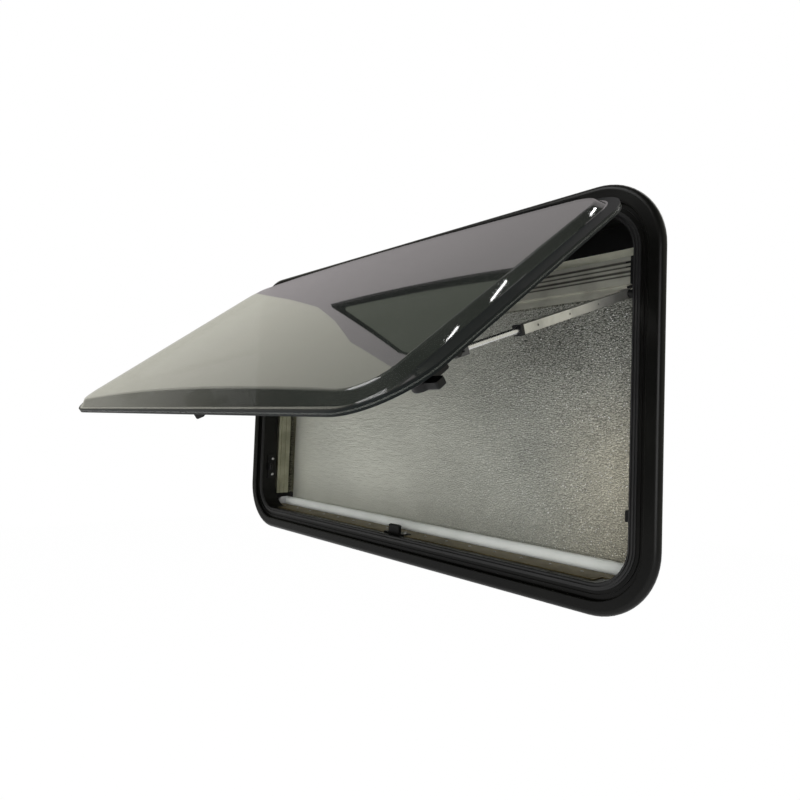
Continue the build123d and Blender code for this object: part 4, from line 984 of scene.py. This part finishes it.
class BristleTree(GeometryTree):
    """Stands thin leaning bristles on a grid."""

    def __init__(self) -> None:
        """Builds the tree."""
        floats = dict.fromkeys(("Width", "Run", "Length", "Radius", "Tip", "Lean"), "Float")
        whole = dict.fromkeys(("Rows", "Count", "Seed"), "Int")
        others = {"Middle": "Vector", "Finish": "Material"}
        super().__init__("bristles_on_grid", Base="Geometry", **floats, **whole, **others)
        given = self.given
        names = {"Size X": "Width", "Size Y": "Run", "Vertices X": "Rows", "Vertices Y": "Count"}
        inputs = {socket: given[name] for socket, name in names.items()}
        grid = self.node("GeometryNodeMeshGrid", inputs)
        sizes = {"Radius Top": given["Tip"], "Radius Bottom": given["Radius"], "Depth": given["Length"]}
        shape = {"Vertices": 4, "Side Segments": 1, **sizes}
        bristle = self.node("GeometryNodeMeshCone", shape, fill_type="NONE")
        slack = self.node("ShaderNodeMath", {0: given["Lean"], 1: -1.0}, operation="MULTIPLY")
        low = self.node("ShaderNodeCombineXYZ", {"X": slack, "Y": slack})
        top = {"X": given["Lean"], "Y": given["Lean"], "Z": 1.57}
        high = self.node("ShaderNodeCombineXYZ", top)
        limits = {"Min": low, "Max": high, "Seed": given["Seed"]}
        lean = self.node("FunctionNodeRandomValue", limits, data_type="FLOAT_VECTOR")
        turn = self.node("FunctionNodeEulerToRotation", {0: lean})
        copies = {"Points": grid, "Instance": bristle, "Rotation": turn}
        spread = self.node("GeometryNodeInstanceOnPoints", copies)
        real = self.node("GeometryNodeRealizeInstances", {"Geometry": spread})
        place = {"Geometry": real, "Rotation": (-math.pi / 2, 0, 0), "Translation": given["Middle"]}
        stood = self.node("GeometryNodeTransform", place)
        joined = self.node("GeometryNodeJoinGeometry", {0: given["Base"]})
        self.feed(joined.inputs[0], stood)
        self.end(joined)


@dataclass
class BrushSeals(Assembly):
    """Pile strips in the blind's slot of each side rail."""

    backing: float = 0.0011
    rows: int = 5
    pitch: float = 0.0011
    radius: float = 0.00022
    tip: float = 0.00004
    lean: float = 0.16
    margin: float = 0.0009
    reach: float = 0.99

    def build(self) -> None:
        """Builds the strip on each side."""
        tree = BristleTree()
        for side in Side:
            node = f"brush_seal_{side.word}"
            low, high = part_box(node)
            strip = boxed(low, (high.x, low.y + self.backing, high.z))
            made = shaped(f"{node}_pile", strip, False)
            start = low.y + self.backing
            run = high.z - low.z - 2 * self.margin
            tree.run(
                made,
                Width=high.x - low.x - 2 * self.margin,
                Run=run,
                Length=(high.y - start) * self.reach,
                Radius=self.radius,
                Tip=self.tip,
                Lean=self.lean,
                Rows=self.rows,
                Count=int(run / self.pitch),
                Seed=4 + side.value,
                Middle=Vector(((low.x + high.x) / 2, start, (low.z + high.z) / 2)),
                Finish=self.paint.material(BRUSH_PILE),
            )
            self.paint.finish_piece(made, BRUSH_PILE, "brush_black", node, "frame")


@dataclass
class FoilBlind(Assembly):
    """Aluminised blind cloth between the roller and the blind bar."""

    columns: int = 250
    rows: int = 104
    thickness: float = 0.0004
    crumple: float = 0.0011
    edge_hold: float = 0.014
    roller_z: float = -0.2195
    travel: float = 0.348

    def build(self) -> None:
        """Builds the crinkled sheet and gives it its thickness."""
        node = "blind_fabric"
        low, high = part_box(node)
        size = high - low
        shape = bmesh.new()
        grid = []
        for row in range(self.rows + 1):
            line = []
            for column in range(self.columns + 1):
                x = low.x + size.x * column / self.columns
                z = low.z + size.z * row / self.rows
                hold = min(x - low.x, high.x - x, high.z - z, z - low.z) / self.edge_hold
                free = min(max(hold, 0.0), 1.0)
                swell = noise.noise(Vector((x * 26, 3.1, z * 11)))
                crinkle = noise.noise(Vector((x * 95 + z * 60, 7.7, z * 120 - x * 40)))
                push = self.crumple * free * (0.65 * swell + 0.35 * crinkle)
                line.append(shape.verts.new((x, (low.y + high.y) / 2 + push, z)))
            grid.append(line)
        for lower, upper in zip(grid, grid[1:]):
            for column in range(self.columns):
                shape.faces.new((lower[column], lower[column + 1], upper[column + 1], upper[column]))
        made = shaped("blind_foil", shape)
        wall = made.modifiers.new("thickness", "SOLIDIFY")
        wall.thickness = self.thickness
        wall.offset = 0.0
        made.data = applied(made)
        self.paint.finish_piece(made, BLIND_FOIL, "blind_silver", node, "frame")
        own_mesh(made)


@dataclass
class InsectNet(Assembly):
    """Net that the fly bar pulls down from the roller in the cassette."""

    columns: int = 98
    rows: int = 24
    roller_z: float = 0.217
    bar_z: float = 0.2065

    def build(self) -> None:
        """Builds the net as a flat grid that fills the box of the CAD net."""
        node = "fly_mesh"
        low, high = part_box(node)
        size = high - low
        shape = bmesh.new()
        bmesh.ops.create_grid(shape, x_segments=self.columns, y_segments=self.rows, size=0.5)
        upright = Matrix.Rotation(math.pi / 2, 4, "X") @ Matrix.Diagonal((size.x, size.z, 1, 1))
        place = Matrix.Translation((low + high) / 2) @ upright
        bmesh.ops.transform(shape, matrix=place, verts=shape.verts)
        made = shaped("fly_net", shape)
        self.paint.finish_piece(made, INSECT_NET, "mesh_black", node)
        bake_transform(made)


@dataclass
class RigidPieces(Assembly):
    """Pieces whose CAD shapes stay and get a finish."""

    def build(self) -> None:
        """Gives each CAD node its finish."""
        sides = [side.word for side in Side]

        def pairs(*stems: str) -> list[str]:
            """Names of left and right pieces."""
            return [f"{stem}_{side}" for stem in stems for side in sides]

        dress = self.paint.dress_nodes
        dress(FRAME_BLACK, "outer_frame", "inner_frame")
        dress(RUBBER_BLACK, "frame_gasket")
        dress(FOAM_GREY, "wall_seal")
        dress(HINGE_BLACK, "hinge_rail", "pane_hinge_strip", "top_cassette")
        dress(OUTER_ACRYLIC, "outer_pane")
        dress(INNER_ACRYLIC, "inner_pane")
        dress(BOND, "edge_seal")
        for stem in ("latch_base", "latch_lever", "striker"):
            dress(FITTING_BLACK, *[f"{stem}_{place}" for place in (*sides, "bottom")])
        dress(FITTING_BLACK, *pairs("stay_bracket", "stay_anchor", "sleeve_collar"))
        dress(FITTING_BLACK, *pairs("blind_bar_cap", "fly_bar_cap", "cassette_end"))
        dress(STAY_METAL, *pairs("stay_sleeve"))
        dress(ROD_METAL, *pairs("stay_rod"))
        dress(ROD_END_METAL, *pairs("rod_end"))
        dress(RAIL_METAL, *pairs("side_rail"))
        dress(BAR_METAL, "blind_bar", "fly_roller")
        dress(FLY_BAR_METAL, "fly_bar")
        dress(SILL_BRONZE, "sill_strip")
        dress(ROLLER_WHITE, "blind_roller")
        dress(CHEEK_WHITE, "blind_roller_plugs", "fly_roller_plugs", *pairs("roller_bracket"))


TUBE_PLACES = ((1.004, 0.244, 2.4), (1.087, -0.053, 2.4), (0.83, 0.80, 2.4))
TWIN_SHIFTS = (-0.024, 0.022)
WALL_END_X = 0.44
WALL_TOP_Z = 1.2
WALL_OUTLINE = (
    (-0.58, 0.275), (-0.53, 0.38), (-0.506, 0.46), (-0.55, 0.56), (-0.66, 0.72), (-0.70, 0.94),
    (-0.70, WALL_TOP_Z), (WALL_END_X, WALL_TOP_Z), (WALL_END_X, 0.275),
)
NEXT_WINDOW = (
    (-0.462, 0.475), (-0.445, 0.458), (WALL_END_X, 0.458),
    (WALL_END_X, 0.86), (-0.52, 0.86), (-0.547, 0.83),
)
NEXT_GLASS = (
    (-0.436, 0.505), (-0.418, 0.490), (WALL_END_X, 0.490),
    (WALL_END_X, 0.835), (-0.50, 0.835), (-0.513, 0.81),
)


@dataclass
class Studio:
    """Camera, lamps, white surroundings and floor."""

    eye: tuple[float, float, float] = (0.8314, -0.7048, -0.0451)
    right: tuple[float, float, float] = (0.65334545, 0.75624202, 0.03518154)
    up: tuple[float, float, float] = (0.00925646, -0.05444752, 0.99847373)
    lens: float = 28.84
    floor_z: float = -1.1
    floor_half: float = 6.0
    floor_white: float = 0.975
    low_light: float = 0.34
    high_light: float = 0.95
    dark_hall: float = 0.07
    bright_hall: float = 0.74
    hall_colour: Colour = (1.0, 0.985, 0.86)
    tube_half_length: float = 0.06
    tube_half_width: float = 0.004
    tube_light: float = 22.0

    def camera(self) -> None:
        """Sets up the camera at the photograph's viewing angle."""
        data = bpy.data.cameras.new("camera")
        data.lens = self.lens
        data.sensor_width = 36.0
        made = bpy.data.objects.new("camera", data)
        bpy.context.scene.collection.objects.link(made)
        right, up = Vector(self.right), Vector(self.up)
        turn = Matrix((right, up, right.cross(up))).transposed()
        made.matrix_world = Matrix.Translation(self.eye) @ turn.to_4x4()
        bpy.context.scene.camera = made

    def world(self) -> None:
        """White surroundings for the camera and soft grey light for the rest."""
        world = bpy.data.worlds.new("surroundings")
        world.use_nodes = True
        bpy.context.scene.world = world
        graph = Graph(world.node_tree)
        ray = graph.node("ShaderNodeLightPath").outputs
        camera = Signal(graph, ray["Is Camera Ray"])
        passed = Signal(graph, ray["Is Transmission Ray"])
        gloss = Signal(graph, ray["Is Glossy Ray"])
        white = camera.at_least(passed)
        way = graph.node("ShaderNodeTexCoord").outputs["Generated"]
        parts = graph.node("ShaderNodeSeparateXYZ", {0: way}).outputs
        inwards = Signal(graph, parts[1])
        upwards = Signal(graph, parts[2])
        soft = self.low_light + (self.high_light - self.low_light) * upwards.step(-0.5, 0.6)
        beyond = inwards.step(-0.50, -0.12) * upwards.step(0.88, 0.70)
        shine = self.dark_hall + (self.bright_hall - self.dark_hall) * beyond
        rest = soft + (shine - soft) * gloss
        colours = {0: gloss, 6: WHITE, 7: self.hall_colour}
        tint = graph.node("ShaderNodeMix", colours, data_type="RGBA")
        light = {"Color": tint.outputs[2], "Strength": white + (1.0 - white) * rest}
        back = graph.node("ShaderNodeBackground", light)
        graph.node("ShaderNodeOutputWorld", {"Surface": back})

    def lamp(
        self, name: str, place: Sequence[float], aim: Sequence[float], size: float, power: float
    ) -> None:
        """Adds a square soft lamp.

        Args:
            name: Name of the lamp.
            place: Where it stands.
            aim: Point that it faces.
            size: Length of its side.
            power: Power in watts.
        """
        data = bpy.data.lights.new(name, "AREA")
        data.size = size
        data.energy = power
        made = bpy.data.objects.new(name, data)
        bpy.context.scene.collection.objects.link(made)
        made.location = place
        made.rotation_mode = "QUATERNION"
        made.rotation_quaternion = (Vector(aim) - Vector(place)).to_track_quat("-Z", "Y")

    @staticmethod
    def glowing(
        name: str,
        shown: Callable[[Graph, NodeOutputs], Signal | NodeSocket],
        plain: tuple[str, dict[str, object]] = ("ShaderNodeBsdfTransparent", {}),
        colour: Colour = WHITE,
        strength: float = 1.0,
    ) -> Material:
        """Stage material that glows for some rays and has another shader for the rest.

        Args:
            name: Name of the material.
            shown: Gives the share of the glow from the graph and its light path.
            plain: The other shader's type and inputs.
            colour: Colour of the glow.
            strength: Its strength.

        Returns:
            The material.
        """
        material = bpy.data.materials.new(name)
        material.use_nodes = True
        graph = Graph(material.node_tree)
        share = shown(graph, graph.node("ShaderNodeLightPath").outputs)
        glow = graph.node("ShaderNodeEmission", {"Color": colour, "Strength": strength})
        other = graph.node(*plain)
        mixed = graph.node("ShaderNodeMixShader", {0: share, 1: other, 2: glow})
        graph.node("ShaderNodeOutputMaterial", {"Surface": mixed})
        return material

    def card(
        self, name: str, corners: Sequence[Sequence[float]], level: Colour, strength: float = 1.0
    ) -> None:
        """Hangs a flat card that only polished pieces mirror.

        Args:
            name: Name of the card.
            corners: Its corners.
            level: Colour of the card.
            strength: Brightness of the card.
        """
        shape = bmesh.new()
        shape.faces.new([shape.verts.new(corner) for corner in corners])
        made = shaped(name, shape, False)
        skin = self.glowing(name, lambda _, ray: ray["Is Glossy Ray"], colour=level, strength=strength)
        made.data.materials.append(skin)

    def tubes(self) -> None:
        """Hangs the narrow ceiling lamps whose images run along the dome's edge."""
        along, across = Vector((-0.379, 0.912, 0.14)), Vector((0.87, 0.40, -0.27))
        long, wide = self.tube_half_length, self.tube_half_width
        ends = ((-long, -wide), (-long, wide), (long, wide), (long, -wide))
        for number, place in enumerate(TUBE_PLACES):
            for twin, shift in enumerate(TWIN_SHIFTS):
                middle = Vector(place) + across * shift
                corners = [middle + along * a + across * b for a, b in ends]
                self.card(f"ceiling_{number}_{twin}", corners, WHITE, self.tube_light)

    def floor(self) -> None:
        """Lays the pale floor."""
        shape = bmesh.new()
        bmesh.ops.create_grid(shape, x_segments=1, y_segments=1, size=self.floor_half)
        bmesh.ops.translate(shape, vec=(0, 0, self.floor_z), verts=shape.verts)
        made = shaped("floor", shape, False)
        paint = ("ShaderNodeBsdfDiffuse", {"Color": (0.9, 0.9, 0.9)})
        skin = self.glowing(
            "pale_floor", lambda graph, ray: Signal(graph, ray["Is Camera Ray"]) * self.floor_white, paint
        )
        made.data.materials.append(skin)

    def wall_skin(
        self,
        inner: float = 0.001,
        outer: float = 0.058,
        depth: float = 0.0004,
        start_x: float = 0.36,
        steps: int = 12,
    ) -> None:
        """Puts the strip of white wall right of the window that hides its inner frame from outside.

        Args:
            inner: Reach of its inner edge outwards from the cut-out.
            outer: Reach of its outer edge.
            depth: Its place behind the wall's outer face.
            start_x: Where it starts at the top and the bottom.
            steps: Faces in each corner.
        """

        def outside(graph: Graph, ray: NodeOutputs) -> Signal:
            """Shows the strip's front to the camera alone."""
            behind = Signal(graph, graph.node("ShaderNodeNewGeometry").outputs["Backfacing"])
            return Signal(graph, ray["Is Camera Ray"]) * (1.0 - behind)

        shape = bmesh.new()
        loops = []
        for reach in (inner, outer):
            radius = CUTOUT_RADIUS - reach / 3
            centre_x = CUTOUT_HALF_WIDTH + reach - radius
            half_height = CUTOUT_HALF_HEIGHT + reach
            places = [(start_x, half_height)]
            for sign, start in ((1, math.pi / 2), (-1, 0.0)):
                for step in range(steps + 1):
                    angle = start - math.pi / 2 / steps * step
                    height = sign * (half_height - radius) + radius * math.sin(angle)
                    places.append((centre_x + radius * math.cos(angle), height))
            places.append((start_x, -half_height))
            loops.append([shape.verts.new((x, depth, z)) for x, z in places])
        for near, far in zip(zip(*loops), list(zip(*loops))[1:]):
            shape.faces.new((near[0], far[0], far[1], near[1]))
        made = shaped("wall_skin", shape, False)
        if made.data.polygons[0].normal.y > 0:
            made.data.flip_normals()
        made.data.materials.append(self.glowing("white_wall", outside))

    def build(self) -> None:
        """Builds the whole stage."""
        bpy.context.scene.view_settings.view_transform = "Standard"
        self.camera()
        self.world()
        self.lamp("key", (-0.6, -1.7, 2.1), (0, 0, 0), 1.4, 30.0)
        self.lamp("front", (1.3, -1.7, 0.05), (0.1, 0, -0.05), 1.0, 18.0)
        self.lamp("room", (0.3, 1.6, 1.6), (0, 0, 0), 1.4, 14.0)
        self.tubes()
        self.card("wall_above", [(x, 0.012, z) for x, z in WALL_OUTLINE], (0.48, 0.45, 0.455))
        self.card("next_window_frame", [(x, 0.010, z) for x, z in NEXT_WINDOW], grey(24))
        self.card("next_window", [(x, 0.008, z) for x, z in NEXT_GLASS], tone(112, 116, 106))
        corners = ((0.30, 0.40), (0.50, 0.40), (0.50, 0.75), (0.30, 0.75))
        self.card("skylight", [(x, y, WALL_TOP_Z) for x, y in corners], WHITE, 2.5)
        self.floor()
        self.wall_skin()


def main() -> None:
    """Builds the stage and dresses the window."""
    logging.basicConfig(level=logging.INFO, format="%(message)s", stream=sys.stdout)
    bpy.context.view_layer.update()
    Studio().build()
    paint = Paintbox()
    for assembly in (RigidPieces, Fasteners, BrushSeals, FoilBlind, InsectNet):
        assembly(paint).build()


if __name__ == "__main__":
    main()
